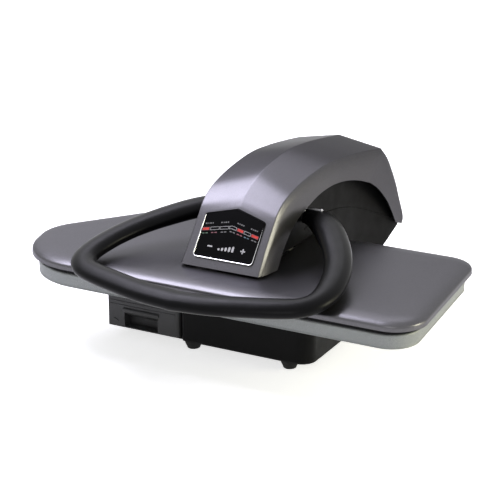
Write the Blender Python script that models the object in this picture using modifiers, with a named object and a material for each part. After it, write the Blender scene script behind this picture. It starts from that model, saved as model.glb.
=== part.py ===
# Tabletop steam ironing press: a padded board on a base with a water tank, and a heated shoe on a
# sprung arm under an arched cover, pressed down and locked by a loop handle.
import math

import bmesh
import bpy
from mathutils import Matrix, Vector

# All sizes are in metres. X runs along the board, the front faces -Y and the feet stand on z = 0.
# While the press is drawn, y = 0 is the front edge of the shoe and x = 0 is the middle of the arch.

# The press as a whole
SHOE_LENGTH = 0.608
SHOE_DEPTH = 0.279
ARCH_FOOT_SETBACK = 0.061
ARCH_DEPTH = 0.468
ARCH_RISE = 0.114
HANDLE_FRONT_DEPTH = 0.057
SEAT_GAP = 0.0003
CUT_OVERRUN = 0.002
WELD_DISTANCE = 0.00001

# Board and shoe, from the floor up
FOOT_HEIGHT = 0.0137
FOOT_TOP_RADIUS = 0.0125
FOOT_TREAD_RADIUS = 0.0095
FOOT_HALF_SPACING = 0.076
FRONT_FOOT_SETBACK = 0.121
REAR_FOOT_SETBACK = 0.455
BOTTOM_PLATE_THICKNESS = 0.002
BASE_HEIGHT = 0.0905
BASE_WALL = 0.0026
DECK_HEIGHT = 0.024
TRAY_LIFT = 0.001
BOARD_LENGTH_SHARE = 0.985
TRAY_HEIGHT = 0.0195
TRAY_SHEET = 0.0016
TRAY_TOP_INSET = 0.0046
TRAY_BOTTOM_INSET = 0.0060
TRAY_EDGE_ROUND = 0.0025
BOARD_PLATE_THICKNESS = 0.001
BOARD_PLATE_INSET = 0.009
PAD_THICKNESS = 0.0046
PAD_INSET = 0.0065
PAD_SWELL = 0.002
SHOE_SKIRT_HEIGHT = 0.0118
SHOE_CROWN = 0.001
SHOE_SHEET = 0.0012
SHOE_EDGE_ROUND = 0.005
SHOE_OPENING_HALF_WIDTH = 0.044
SHOE_OPENING_FRONT = 0.098
SHOE_OPENING_REAR = 0.205

# Base in plan
BASE_FRONT_SETBACK = 0.103
BASE_REAR_SETBACK = 0.300
BASE_HALF_WIDTH = 0.114
BASE_FRONT_LEFT = 0.086
TANK_BAY_DEPTH = 0.116
BASE_FRONT_ROUND = 0.022
BASE_REAR_ROUND = 0.0135
BASE_SMALL_ROUND = 0.005
TRAY_POST_LEFT = 0.070
TRAY_POST_RIGHT = 0.092
TRAY_POST_FRONT = 0.130
TRAY_POST_REAR_MARGIN = 0.024
DECK_REAR_SETBACK = 0.485
DECK_HALF_WIDTH = 0.100
DECK_ROUND = 0.024

# Hinge at the back
AXLE_SETBACK = 0.445
AXLE_HEIGHT = 0.080
AXLE_RADIUS = 0.006
AXLE_HALF_LENGTH = 0.0445
RUNNING_GAP = 0.0003
TOWER_HALF_WIDTH = 0.033
TOWER_DOME_RADIUS = 0.029
TOWER_WALL = 0.0025
TOWER_FOOT_FRONT = 0.040
TOWER_FOOT_REAR = 0.032
TOWER_SLOT_HALF_WIDTH = 0.006
CHEEK_OUTER = 0.028
CHEEK_THICKNESS = 0.003
CHEEK_RADIUS = 0.024
CHEEK_FOOT_HALF_DEPTH = 0.028
ANCHOR_RISE = 0.017
ANCHOR_PIN_RADIUS = 0.003
SPRING_OUTER_RADIUS = 0.0110
SPRING_WIRE_RADIUS = 0.0022
SPRING_INNER_END = 0.007
SPRING_OUTER_END = 0.0245
BRACKET_HALF_WIDTH = 0.039
OPENING_MARGIN = 0.001
CLIP_RADIUS = 0.0095
CLIP_THICKNESS = 0.0016
BUSH_RADIUS = 0.0095

# Arch cover, liner and arm
ARCH_FOOT_LIFT = 0.0062
ARCH_HALF_WIDTH = 0.057
ARCH_SHEET = 0.0024
ARCH_EDGE_ROUND = 0.0014
LINER_HALF_WIDTH = 0.050
LINER_SHEET = 0.002
ARM_OUTER = 0.038
ARM_THICKNESS = 0.004
ARM_BOTTOM_LIFT = 0.0142
ARM_SPACER_RADIUS = 0.007
YOKE_THICKNESS = 0.006
YOKE_FRONT = 0.120
YOKE_REAR = 0.165

# Handle
HANDLE_PIVOT_SETBACK = 0.207
HANDLE_PIVOT_LIFT = 0.0477
HANDLE_EDGE_CLEARANCE = 0.0003
HANDLE_GRIP_RADIUS = 0.0185
HANDLE_FLATNESS = 0.60
HANDLE_HALF_WIDTH = 0.177
HANDLE_SHAFT_RADIUS = 0.006
HANDLE_SHAFT_DEPTH = 0.012
COLLAR_RADIUS = 0.0105
CRANK_LENGTH = 0.022
CRANK_THICKNESS = 0.003
CRANK_PIN_RADIUS = 0.003
CRANK_EYE_RADIUS = 0.010
LINK_THICKNESS = 0.006
LINK_FRONT_RADIUS = 0.007
LINK_REAR_RADIUS = 0.0085
LINK_REAR_CLEARANCE = 0.002
LINK_KNEE_BEHIND = 0.032
LINK_KNEE_RISE = 0.0165

# Control panel on the sloping face of the arch
PANEL_HALF_WIDTH = 0.0455
PANEL_BOTTOM = 0.0105
PANEL_SHOULDER = 0.0745
PANEL_APEX = 0.0875
PANEL_ROUND = 0.004
PANEL_BOTTOM_ROUND = 0.006
PANEL_FRAME_WIDTH = 0.0014
PANEL_FRAME_HEIGHT = 0.0016
PANEL_GLASS_HEIGHT = 0.0012
PANEL_BOARD_THICKNESS = 0.0016
STRIP_HEIGHT = 0.0045
STRIP_THICKNESS = 0.0006
STRIP_END_RISE = 0.0480
STRIP_MIDDLE_RISE = 0.0570

# Water tank
TANK_LENGTH = 0.118
TANK_GAP = 0.0032
TANK_FASCIA_DEPTH = 0.028
TANK_DEPTH = 0.111
TANK_HEIGHT = 0.0865
TANK_WALL = 0.002
TANK_ROUND = 0.008
TANK_SMALL_ROUND = 0.003
TANK_STEP_HEIGHT = 0.058
TANK_STEP_DEPTH = 0.001
TANK_LID_THICKNESS = 0.0022
TANK_LID_DROP = 0.0006
GRIP_WIDTH = 0.055
GRIP_HEIGHT = 0.0215
GRIP_DEPTH = 0.017
GRIP_LEFT_MARGIN = 0.028
GRIP_BOTTOM_MARGIN = 0.0015
ARROW_SIZE = 0.008
TANK_CAP_RADIUS = 0.0155
TANK_CAP_THICKNESS = 0.005
TANK_NOZZLE_RADIUS = 0.004
TANK_NOZZLE_LENGTH = 0.0052
TANK_NOZZLE_HEIGHT = 0.016
DOCK_RADIUS = 0.008

# Heated shoe, inside
SOLE_THICKNESS = 0.0042
SOLE_INSET = 0.0022
STEAM_PORT_RADIUS = 0.0019
STEAM_PORT_ROWS = 3
STEAM_PORT_COLUMNS = 9
PORT_SPREAD_SHARE = 0.36
PORT_STAGGER_SHARE = 0.02
PORT_FRONT_SHARE = 0.20
PORT_DEPTH_SHARE = 0.60
PORT_BOW_SHARE = 0.04
PORT_BOW_MIDDLE_SHARE = 0.10
HEATER_RADIUS = 0.0024
HEATER_INSET = 0.056
INSULATION_INSET_SHARE = 0.18
INSULATION_THICKNESS = 0.0009
STANDOFF_RADIUS = 0.004
MOUNT_FLANGE_LENGTH = 0.076
MOUNT_FLANGE_DEPTH = 0.060
MOUNT_FLANGE_THICKNESS = 0.005
MOUNT_NECK_RADIUS = 0.019
MOUNT_CENTRE_SETBACK = 0.1425
THERMOSTAT_RADIUS = 0.009
THERMOSTAT_HEIGHT = 0.0048
HOSE_RADIUS = 0.0035

# Inside the base
PUMP_RADIUS = 0.016
PUMP_LENGTH = 0.078
PUMP_HEIGHT = 0.022
BOARD_LENGTH = 0.090
BOARD_DEPTH = 0.060
BOARD_THICKNESS = 0.0016
BOARD_LIFT = 0.006
GLAND_RADIUS = 0.0065
GLAND_LENGTH = 0.009
GLAND_SIDEWAYS = 0.048
SWITCH_SIDEWAYS = 0.048
SWITCH_HALF_LENGTH = 0.0100
SWITCH_HALF_HEIGHT = 0.0065
SWITCH_FRAME_WIDTH = 0.0025
SWITCH_FRAME_THICKNESS = 0.0015
SWITCH_TILT = math.radians(6.0)
SWITCH_CLEARANCE = 0.0006
TRAY_POST_RADIUS = 0.008

# Levels worked out from the sizes above
PLATE_BOTTOM = FOOT_HEIGHT + SEAT_GAP
PLATE_TOP = PLATE_BOTTOM + BOTTOM_PLATE_THICKNESS
BASE_TOP = PLATE_BOTTOM + BASE_HEIGHT
DECK_TOP = PLATE_BOTTOM + DECK_HEIGHT
TRAY_BOTTOM = BASE_TOP + TRAY_LIFT
TRAY_TOP = TRAY_BOTTOM + TRAY_HEIGHT
BOARD_PLATE_BOTTOM = TRAY_TOP + SEAT_GAP
PAD_BOTTOM = BOARD_PLATE_BOTTOM + BOARD_PLATE_THICKNESS + SEAT_GAP
PAD_TOP = PAD_BOTTOM + PAD_THICKNESS
SHOE_BOTTOM = PAD_TOP + SEAT_GAP
SHOE_EDGE_TOP = SHOE_BOTTOM + SHOE_SKIRT_HEIGHT
SOLE_TOP = SHOE_BOTTOM + SOLE_THICKNESS
ARCH_FOOT = SHOE_EDGE_TOP + ARCH_FOOT_LIFT
ARM_BOTTOM = SHOE_EDGE_TOP + ARM_BOTTOM_LIFT
HANDLE_PIVOT_HEIGHT = SHOE_EDGE_TOP + HANDLE_PIVOT_LIFT

# Outline of the shoe and the board: share of half the length, share of the depth, round as a share
# of the depth. The left end narrows like the nose of an ironing board.
SHOE_CORNER_SHARES = (
    (-0.944, 0.000, 0.376),
    (1.0125, 0.000, 0.161),
    (0.939, 1.000, 0.151),
    (-0.689, 1.000, 0.261),
    (-1.057, 0.454, 0.243),
)

# The arch from its foot to its back end: eave, ridge and lower edge as shares of the reach and the
# rise, then the half width at the eave and the flare at the lower edge as shares of the foot's half
# width. The first three rows are the flat face that holds the panel.
ARCH_FACE_SHARES = (
    (-0.003, -0.015, -0.003, -0.015, 0.086, -0.035, 1.030, 0.130),
    (0.049, 0.249, 0.049, 0.249, 0.128, 0.154, 1.004, 0.132),
    (0.098, 0.498, 0.121, 0.615, 0.175, 0.329, 1.009, 0.123),
)
ARCH_ROOF_SHARES = (
    (0.098, 0.498, 0.121, 0.615, 0.175, 0.329, 1.009, 0.123),
    (0.122, 0.612, 0.150, 0.716, 0.201, 0.396, 1.018, 0.123),
    (0.158, 0.706, 0.194, 0.811, 0.239, 0.470, 1.026, 0.123),
    (0.205, 0.776, 0.250, 0.899, 0.284, 0.522, 1.035, 0.123),
    (0.299, 0.851, 0.327, 0.961, 0.350, 0.592, 1.053, 0.123),
    (0.436, 0.895, 0.436, 1.004, 0.430, 0.623, 1.088, 0.123),
    (0.564, 0.860, 0.558, 0.974, 0.521, 0.588, 1.123, 0.123),
    (0.692, 0.794, 0.682, 0.908, 0.609, 0.500, 1.158, 0.123),
    (0.799, 0.724, 0.795, 0.838, 0.692, 0.377, 1.202, 0.105),
)
ARCH_BACK_SHARES = (
    (0.799, 0.724, 0.795, 0.838, 0.692, 0.377, 1.202, 0.105),
    (0.857, 0.522, 0.874, 0.601, 0.756, 0.232, 1.202, 0.088),
    (0.923, 0.171, 0.942, 0.215, 0.831, 0.004, 1.193, 0.070),
    (0.964, -0.118, 0.981, -0.101, 0.882, -0.197, 1.184, 0.053),
    (1.007, -0.440, 1.020, -0.431, 0.930, -0.425, 1.175, 0.035),
    (0.995, -0.545, 1.008, -0.536, 0.940, -0.465, 1.175, 0.035),
)
RINGS_ON_ROOF = 16
RINGS_ON_BACK = 9
RINGS_ON_LINER = 18

# The liner's top line and bottom line from front to back, as shares of the reach and the rise, and
# its width there as a share of the width in front: it spreads to fill the cover's rear end
LINER_SHARES = (
    (0.049, 0.101, 0.036, 0.022, 1.00),
    (0.115, 0.434, 0.105, 0.018, 1.00),
    (0.132, 0.548, 0.169, 0.018, 1.00),
    (0.171, 0.636, 0.233, 0.018, 1.00),
    (0.214, 0.706, 0.297, 0.018, 1.00),
    (0.303, 0.776, 0.361, 0.018, 1.00),
    (0.436, 0.820, 0.442, 0.018, 1.00),
    (0.560, 0.785, 0.489, -0.083, 1.00),
    (0.682, 0.715, 0.543, -0.303, 1.00),
    (0.778, 0.645, 0.618, -0.478, 1.00),
    (0.835, 0.478, 0.703, -0.645, 1.04),
    (0.887, 0.225, 0.788, -0.776, 1.11),
    (0.930, -0.060, 0.855, -0.770, 1.18),
    (0.962, -0.290, 0.912, -0.665, 1.23),
    (0.978, -0.410, 0.950, -0.600, 1.25),
    (0.988, -0.490, 0.979, -0.550, 1.26),
)

# One side plate of the steel arm: shares of the reach and the rise, round as a share of the reach
ARM_SHARES = (
    (0.122, 0.070, 0.008),
    (0.490, 0.070, 0.090),
    (0.724, -0.330, 0.070),
    (0.778, -0.759, 0.043),
    (0.865, -0.759, 0.043),
    (0.893, -0.250, 0.060),
    (0.820, 0.320, 0.090),
    (0.660, 0.640, 0.130),
    (0.360, 0.730, 0.170),
    (0.190, 0.490, 0.070),
    (0.122, 0.240, 0.016),
)
ARM_SPACER_SHARES = ((0.205, 0.330), (0.640, 0.330))
COVER_STUD_SHARES = ((0.350, 0.720, 1.065), (0.607, 0.690, 1.140))
SOLE_BOSS_SHARES = ((-0.88, 0.28), (0.90, 0.13), (0.85, 0.88), (-0.58, 0.90), (0.0, 0.08), (0.15, 0.92))

# Centre line of half the handle, from its pivot to the middle of the front bar: share of the half
# width, share of the way forward, thickness as a share of the grip's radius. The last share is the
# thickness where the loop crosses the shoe's front edge.
HANDLE_SHARES = (
    (0.324, 0.000, 0.86),
    (0.342, 0.000, 0.87),
    (0.362, 0.000, 0.90),
    (0.400, 0.010, 0.95),
    (0.450, 0.028, 1.02),
    (0.520, 0.067, 1.10),
    (0.600, 0.122, 1.13),
    (0.690, 0.198, 1.11),
    (0.790, 0.296, 1.06),
    (0.880, 0.405, 1.02),
    (0.945, 0.515, 1.00),
    (0.985, 0.625, 0.99),
    (0.998, 0.720, 0.965),
    (0.975, 0.800, 0.94),
    (0.900, 0.862, 0.95),
    (0.770, 0.900, 0.98),
    (0.560, 0.938, 1.00),
    (0.290, 0.979, 1.00),
    (0.000, 1.000, 1.00),
)
HANDLE_EDGE_SHARE = 0.95
HANDLE_STEPS = 2

SIDES = ((-1, "left"), (1, "right"))
DEFAULT_SIDES = 16
SMALL_SIDES = 10
CORNER_STEPS = 6
NEARLY_WHOLE = 0.999


def clear_scene():
    for old in list(bpy.data.objects):
        bpy.data.objects.remove(old, do_unlink=True)


def new_collection(name):
    group = bpy.data.collections.new(name)
    bpy.context.scene.collection.children.link(group)
    return group


clear_scene()
PARTS = new_collection("steam_ironing_press")
CUTTERS = new_collection("cutters")


def paint(name, color, roughness, metallic=0.0):
    made = bpy.data.materials.new(name)
    made.use_nodes = True
    shader = made.node_tree.nodes["Principled BSDF"]
    shader.inputs["Base Color"].default_value = (*color, 1.0)
    shader.inputs["Roughness"].default_value = roughness
    shader.inputs["Metallic"].default_value = metallic
    made.diffuse_color = (*color, 1.0)
    return made


PEWTER = paint("pewter_paint", (0.20, 0.195, 0.21), 0.32, 0.75)
TRAY_GREY = paint("tray_grey", (0.33, 0.35, 0.36), 0.45, 0.3)
BLACK_PLASTIC = paint("black_plastic", (0.012, 0.012, 0.013), 0.48)
HANDLE_BLACK = paint("handle_black", (0.016, 0.016, 0.018), 0.36)
TANK_GREY = paint("tank_grey", (0.045, 0.045, 0.048), 0.42)
SMOKE_PLASTIC = paint("smoke_plastic", (0.07, 0.08, 0.09), 0.22)
STEEL = paint("zinc_steel", (0.55, 0.55, 0.56), 0.35, 1.0)
DARK_STEEL = paint("dark_steel", (0.12, 0.12, 0.13), 0.40, 0.9)
ALUMINIUM = paint("cast_aluminium", (0.62, 0.62, 0.63), 0.38, 1.0)
CHROME = paint("bright_trim", (0.80, 0.80, 0.82), 0.12, 1.0)
RUBBER = paint("black_rubber", (0.015, 0.015, 0.015), 0.85)
FELT = paint("pad_cover", (0.10, 0.10, 0.105), 0.95)
GLASS_BLACK = paint("panel_black", (0.006, 0.006, 0.008), 0.12)
DARK_WINDOW = paint("dark_window", (0.02, 0.02, 0.022), 0.2)
BOARD_GREEN = paint("board_green", (0.03, 0.16, 0.07), 0.5)
WHITE_FELT = paint("insulation", (0.70, 0.69, 0.64), 0.95)
HOSE_CLEAR = paint("hose_silicone", (0.55, 0.52, 0.47), 0.5)
BRASS = paint("bush_bronze", (0.50, 0.33, 0.12), 0.4, 1.0)


def add_object(name, mesh, material, group=None):
    made = bpy.data.objects.new(name, mesh)
    (group or PARTS).objects.link(made)
    if material is not None:
        mesh.materials.append(material)
    return made


def smooth_by_angle(thing, degrees=35.0):
    thing.data.shade_smooth()
    thing.data.set_sharp_from_angle(angle=math.radians(degrees))


def mesh_from(name, work, material, group=None, smooth=True):
    mesh = bpy.data.meshes.new(name)
    work.to_mesh(mesh)
    work.free()
    made = add_object(name, mesh, material, group)
    if smooth:
        smooth_by_angle(made)
    return made


def box(name, low, high, material, group=None, bevel=0.0):
    work = bmesh.new()
    bmesh.ops.create_cube(work, size=1.0)
    size = Vector(high) - Vector(low)
    middle = (Vector(high) + Vector(low)) / 2
    bmesh.ops.scale(work, vec=size, verts=work.verts)
    bmesh.ops.translate(work, vec=middle, verts=work.verts)
    made = mesh_from(name, work, material, group, smooth=False)
    if bevel:
        edge = made.modifiers.new("rounded", "BEVEL")
        edge.width = bevel
        edge.segments = 2
        smooth_by_angle(made)
    return made


def rod(name, start, end, radius, material, group=None, sides=DEFAULT_SIDES, end_radius=None):
    start = Vector(start)
    end = Vector(end)
    work = bmesh.new()
    bmesh.ops.create_cone(
        work, cap_ends=True, segments=sides, radius1=radius,
        radius2=radius if end_radius is None else end_radius, depth=(end - start).length,
    )
    turn = (end - start).to_track_quat("Z", "Y").to_matrix().to_4x4()
    bmesh.ops.transform(work, matrix=Matrix.Translation((start + end) / 2) @ turn, verts=work.verts)
    return mesh_from(name, work, material, group)


def cross_rod(name, setback, height, half_length, radius, material, group=None, sides=DEFAULT_SIDES):
    return rod(name, (-half_length, setback, height), (half_length, setback, height), radius,
               material, group, sides)


def filleted(corners, steps=CORNER_STEPS):
    """Points of a closed outline whose corners (a, b, round) are arcs."""
    points = []
    count = len(corners)
    for i in range(count):
        before = Vector(corners[i - 1][:2])
        here = Vector(corners[i][:2])
        after = Vector(corners[(i + 1) % count][:2])
        radius = corners[i][2]
        to_before = (before - here).normalized()
        to_after = (after - here).normalized()
        half = to_before.angle(to_after) / 2
        if radius <= SEAT_GAP:
            points.append(tuple(here))
            continue
        reach = min(
            radius / math.tan(half),
            (before - here).length * radius / (radius + corners[i - 1][2]) * NEARLY_WHOLE,
            (after - here).length * radius / (radius + corners[(i + 1) % count][2]) * NEARLY_WHOLE,
        )
        true_radius = reach * math.tan(half)
        centre = here + (to_before + to_after).normalized() * (true_radius / math.sin(half))
        first = here + to_before * reach - centre
        last = here + to_after * reach - centre
        sweep = first.angle_signed(last)
        for k in range(steps + 1):
            angle = -sweep * k / steps
            turned = Vector((first.x * math.cos(angle) - first.y * math.sin(angle),
                             first.x * math.sin(angle) + first.y * math.cos(angle)))
            points.append(tuple(centre + turned))
    return points


def inset(corners, distance):
    """The same corners with every side moved inwards; the corners run anticlockwise."""
    moved = []
    count = len(corners)
    least_round = 0.0
    for i in range(count):
        before = Vector(corners[i - 1][:2])
        here = Vector(corners[i][:2])
        after = Vector(corners[(i + 1) % count][:2])
        along_in = (here - before).normalized()
        along_out = (after - here).normalized()
        normal_in = Vector((-along_in.y, along_in.x))
        normal_out = Vector((-along_out.y, along_out.x))
        turn = along_in.x * along_out.y - along_in.y * along_out.x
        bisector = (normal_in + normal_out).normalized()
        place = here + bisector * (distance / bisector.dot(normal_in))
        change = -distance if turn > 0 else distance
        moved.append((place.x, place.y, max(corners[i][2] + change, least_round)))
    return moved


PLANES = {
    "XY": Matrix.Identity(4),
    "YZ": Matrix(((0, 0, 1, 0), (1, 0, 0, 0), (0, 1, 0, 0), (0, 0, 0, 1))),
    "XZ": Matrix(((1, 0, 0, 0), (0, 0, -1, 0), (0, 1, 0, 0), (0, 0, 0, 1))),
}


def circle_points(a, b, radius, sides=SMALL_SIDES):
    return [(a + radius * math.cos(2 * math.pi * k / sides), b + radius * math.sin(2 * math.pi * k / sides))
            for k in range(sides)]


def plate(name, outline, low, high, material, plane="XY", holes=(), group=None, turn=None):
    """A flat outline given thickness from low to high along the plane's normal, with its holes."""
    curve = bpy.data.curves.new(name, "CURVE")
    curve.dimensions = "2D"
    curve.fill_mode = "BOTH"
    curve.extrude = (high - low) / 2
    for loop in (outline, *holes):
        spline = curve.splines.new("POLY")
        spline.points.add(len(loop) - 1)
        for point, (a, b) in zip(spline.points, loop):
            point.co = (a, b, 0.0, 1.0)
        spline.use_cyclic_u = True
    drawn = bpy.data.objects.new(name + "_curve", curve)
    (group or PARTS).objects.link(drawn)
    middle = (low + high) / 2
    drawn.matrix_world = (turn or Matrix.Identity(4)) @ PLANES[plane] @ Matrix.Translation((0, 0, middle))
    bpy.context.view_layer.update()
    return as_mesh(drawn, name, material, group)


def as_mesh(drawn, name, material, group=None):
    """A curve made into a closed mesh, with its caps welded on."""
    ready = drawn.evaluated_get(bpy.context.evaluated_depsgraph_get())
    mesh = bpy.data.meshes.new_from_object(ready)
    place = drawn.matrix_world.copy()
    bpy.data.objects.remove(drawn, do_unlink=True)
    work = bmesh.new()
    work.from_mesh(mesh)
    bmesh.ops.remove_doubles(work, verts=work.verts, dist=WELD_DISTANCE)
    bmesh.ops.transform(work, matrix=place, verts=work.verts)
    bmesh.ops.recalc_face_normals(work, faces=work.faces)
    bpy.data.meshes.remove(mesh)
    return mesh_from(name, work, material, group)


def turned(name, profile, place, axis, material, steps=DEFAULT_SIDES, closed=False):
    """A profile of (radius, height) turned about an axis through place."""
    mesh = bpy.data.meshes.new(name)
    points = [(radius, 0.0, height) for radius, height in profile]
    edges = [(i, i + 1) for i in range(len(points) - 1)]
    if closed:
        edges.append((len(points) - 1, 0))
    mesh.from_pydata(points, edges, [])
    made = add_object(name, mesh, material)
    spin = made.modifiers.new("turned", "SCREW")
    spin.steps = steps
    spin.render_steps = steps
    spin.use_merge_vertices = True
    spin.merge_threshold = WELD_DISTANCE
    made.location = place
    made.rotation_euler = Vector(axis).to_track_quat("Z", "Y").to_euler()
    return made


def ring(name, start, end, outer, inner, material, steps=16):
    start = Vector(start)
    length = (Vector(end) - start).length
    profile = [(outer, length), (outer, 0.0), (inner, 0.0), (inner, length)]
    return turned(name, profile, start, Vector(end) - start, material, steps, closed=True)


def tube(name, points, radius, material, sides=8, cyclic=False):
    curve = bpy.data.curves.new(name, "CURVE")
    curve.dimensions = "3D"
    curve.bevel_depth = radius
    curve.bevel_resolution = max(sides // 2 - 2, 1)
    curve.use_fill_caps = not cyclic
    spline = curve.splines.new("POLY")
    spline.points.add(len(points) - 1)
    for point, place in zip(spline.points, points):
        point.co = (*place, 1.0)
    spline.use_cyclic_u = cyclic
    drawn = bpy.data.objects.new(name + "_curve", curve)
    PARTS.objects.link(drawn)
    bpy.context.view_layer.update()
    return as_mesh(drawn, name, material)


def skin(name, rings, material, closed_rings=True, cap_last=False):
    """An open surface through rings that all have as many points."""
    work = bmesh.new()
    rows = [[work.verts.new(point) for point in ring_points] for ring_points in rings]
    count = len(rows[0])
    span = count if closed_rings else count - 1
    for lower, upper in zip(rows[:-1], rows[1:]):
        for i in range(span):
            j = (i + 1) % count
            work.faces.new((lower[i], lower[j], upper[j], upper[i]))
    if cap_last:
        work.faces.new(rows[-1])
    work.normal_update()
    return mesh_from(name, work, material)


def thicken(thing, thickness, side=-1.0):
    wall = thing.modifiers.new("wall", "SOLIDIFY")
    wall.thickness = thickness
    wall.offset = side
    wall.use_even_offset = True
    return thing


def boolean(thing, other, operation):
    step = thing.modifiers.new(operation.lower(), "BOOLEAN")
    step.operation = operation
    step.object = other
    other.hide_render = True
    other.display_type = "WIRE"
    for group in list(other.users_collection):
        group.objects.unlink(other)
    CUTTERS.objects.link(other)
    return thing


def cut(thing, cutter):
    return boolean(thing, cutter, "DIFFERENCE")


def join(thing, other):
    return boolean(thing, other, "UNION")


def smooth_line(rows, steps):
    """Rows of numbers joined by a smooth curve that passes through each of them."""
    padded = [rows[0], *rows, rows[-1]]
    line = []
    for i in range(1, len(padded) - 2):
        a, b, c, d = padded[i - 1:i + 3]
        for k in range(steps):
            t = k / steps
            line.append([
                0.5 * (2 * q + (r - p) * t + (2 * p - 5 * q + 4 * r - s) * t * t
                       + (3 * q - p - 3 * r + s) * t ** 3)
                for p, q, r, s in zip(a, b, c, d)
            ])
    line.append(list(rows[-1]))
    return line


def resampled(rows, count):
    """The smooth curve through the rows, read at evenly spaced places."""
    fine = smooth_line(rows, 12)
    lengths = [0.0]
    for before, after in zip(fine[:-1], fine[1:]):
        lengths.append(lengths[-1] + math.dist(before[:2], after[:2]))
    picked = []
    i = 0
    for k in range(count):
        wanted = lengths[-1] * k / (count - 1)
        while i < len(lengths) - 2 and lengths[i + 1] < wanted:
            i += 1
        share = (wanted - lengths[i]) / (lengths[i + 1] - lengths[i])
        picked.append([a + (b - a) * min(share, 1.0) for a, b in zip(fine[i], fine[i + 1])])
    return picked


def shoe_outline(distance=0.0):
    corners = [(x * SHOE_LENGTH / 2, y * SHOE_DEPTH, r * SHOE_DEPTH) for x, y, r in SHOE_CORNER_SHARES]
    return filleted(inset(corners, distance) if distance else corners)


def board_outline(distance):
    """The shoe's outline inset for the board below it, which is a little shorter than the shoe."""
    return [(x * BOARD_LENGTH_SHARE, y) for x, y in shoe_outline(distance)]


def level(outline, height):
    return [(a, b, height) for a, b in outline]


def arch_point(y_share, z_share):
    return ARCH_FOOT_SETBACK + y_share * ARCH_DEPTH, ARCH_FOOT + z_share * ARCH_RISE


# Axes that carry the moving pieces
AXES = {}


def axis_empty(name, place, parent=None):
    made = bpy.data.objects.new(name, None)
    PARTS.objects.link(made)
    made.location = place
    made.empty_display_size = SHOE_DEPTH / 8
    if parent:
        made.parent = AXES[parent][0]
        made.location = Vector(place) - AXES[parent][1]
    AXES[name] = (made, Vector(place))
    return made


def carried(axis, *things):
    for thing in things:
        for step in thing.modifiers:
            if step.type == "BOOLEAN":
                carried(axis, step.object)
        thing.parent = AXES[axis][0]
        thing.location = thing.location - AXES[axis][1]


# Board tray, pad and the posts that carry them
tray_rings = [
    level(board_outline(TRAY_BOTTOM_INSET), TRAY_BOTTOM),
    level(board_outline(TRAY_TOP_INSET), TRAY_TOP - TRAY_EDGE_ROUND),
    level(board_outline(TRAY_TOP_INSET + TRAY_EDGE_ROUND * 0.3), TRAY_TOP - TRAY_EDGE_ROUND * 0.3),
    level(board_outline(TRAY_TOP_INSET + TRAY_EDGE_ROUND), TRAY_TOP),
]
board_tray = thicken(skin("board_tray", tray_rings, TRAY_GREY, cap_last=True), TRAY_SHEET)
for x in (-TRAY_POST_LEFT, TRAY_POST_RIGHT):
    for y in (TRAY_POST_FRONT, SHOE_DEPTH - TRAY_POST_REAR_MARGIN):
        join(board_tray, rod("tray_post", (x, y, BASE_TOP + SEAT_GAP), (x, y, TRAY_TOP - TRAY_SHEET / 2),
                             TRAY_POST_RADIUS, None, sides=SMALL_SIDES))
board_plate = plate("board_plate", board_outline(BOARD_PLATE_INSET), BOARD_PLATE_BOTTOM,
                    BOARD_PLATE_BOTTOM + BOARD_PLATE_THICKNESS, ALUMINIUM)
pad_rings = [
    level(board_outline(PAD_INSET + PAD_SWELL), PAD_BOTTOM),
    level(board_outline(PAD_INSET + PAD_SWELL * 0.25), PAD_BOTTOM + PAD_THICKNESS * 0.2),
    level(board_outline(PAD_INSET), PAD_BOTTOM + PAD_THICKNESS * 0.5),
    level(board_outline(PAD_INSET + PAD_SWELL * 0.25), PAD_BOTTOM + PAD_THICKNESS * 0.8),
    level(board_outline(PAD_INSET + PAD_SWELL), PAD_TOP),
]
board_pad = skin("board_pad", pad_rings, FELT, cap_last=True)
close_bottom = bmesh.new()
close_bottom.from_mesh(board_pad.data)
close_bottom.verts.ensure_lookup_table()
close_bottom.faces.new([close_bottom.verts[i] for i in reversed(range(len(pad_rings[0])))])
close_bottom.to_mesh(board_pad.data)
close_bottom.free()
smooth_by_angle(board_pad)


# Base: shell over a bottom plate that reaches out under the tank
def base_plan(distance=0.0):
    return filleted(inset([
        (-BASE_FRONT_LEFT, BASE_FRONT_SETBACK, BASE_SMALL_ROUND),
        (BASE_HALF_WIDTH, BASE_FRONT_SETBACK, BASE_FRONT_ROUND),
        (BASE_HALF_WIDTH, BASE_REAR_SETBACK, BASE_REAR_ROUND),
        (-BASE_HALF_WIDTH, BASE_REAR_SETBACK, BASE_REAR_ROUND),
        (-BASE_HALF_WIDTH, BASE_FRONT_SETBACK + TANK_BAY_DEPTH, BASE_SMALL_ROUND),
        (-BASE_FRONT_LEFT, BASE_FRONT_SETBACK + TANK_BAY_DEPTH, BASE_SMALL_ROUND),
    ], distance), steps=5)


def deck_plan(front, distance=0.0):
    return filleted([
        (-DECK_HALF_WIDTH + distance, front, 0.0),
        (DECK_HALF_WIDTH - distance, front, 0.0),
        (DECK_HALF_WIDTH - distance, DECK_REAR_SETBACK - distance, DECK_ROUND - distance),
        (-DECK_HALF_WIDTH + distance, DECK_REAR_SETBACK - distance, DECK_ROUND - distance),
    ])


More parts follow.
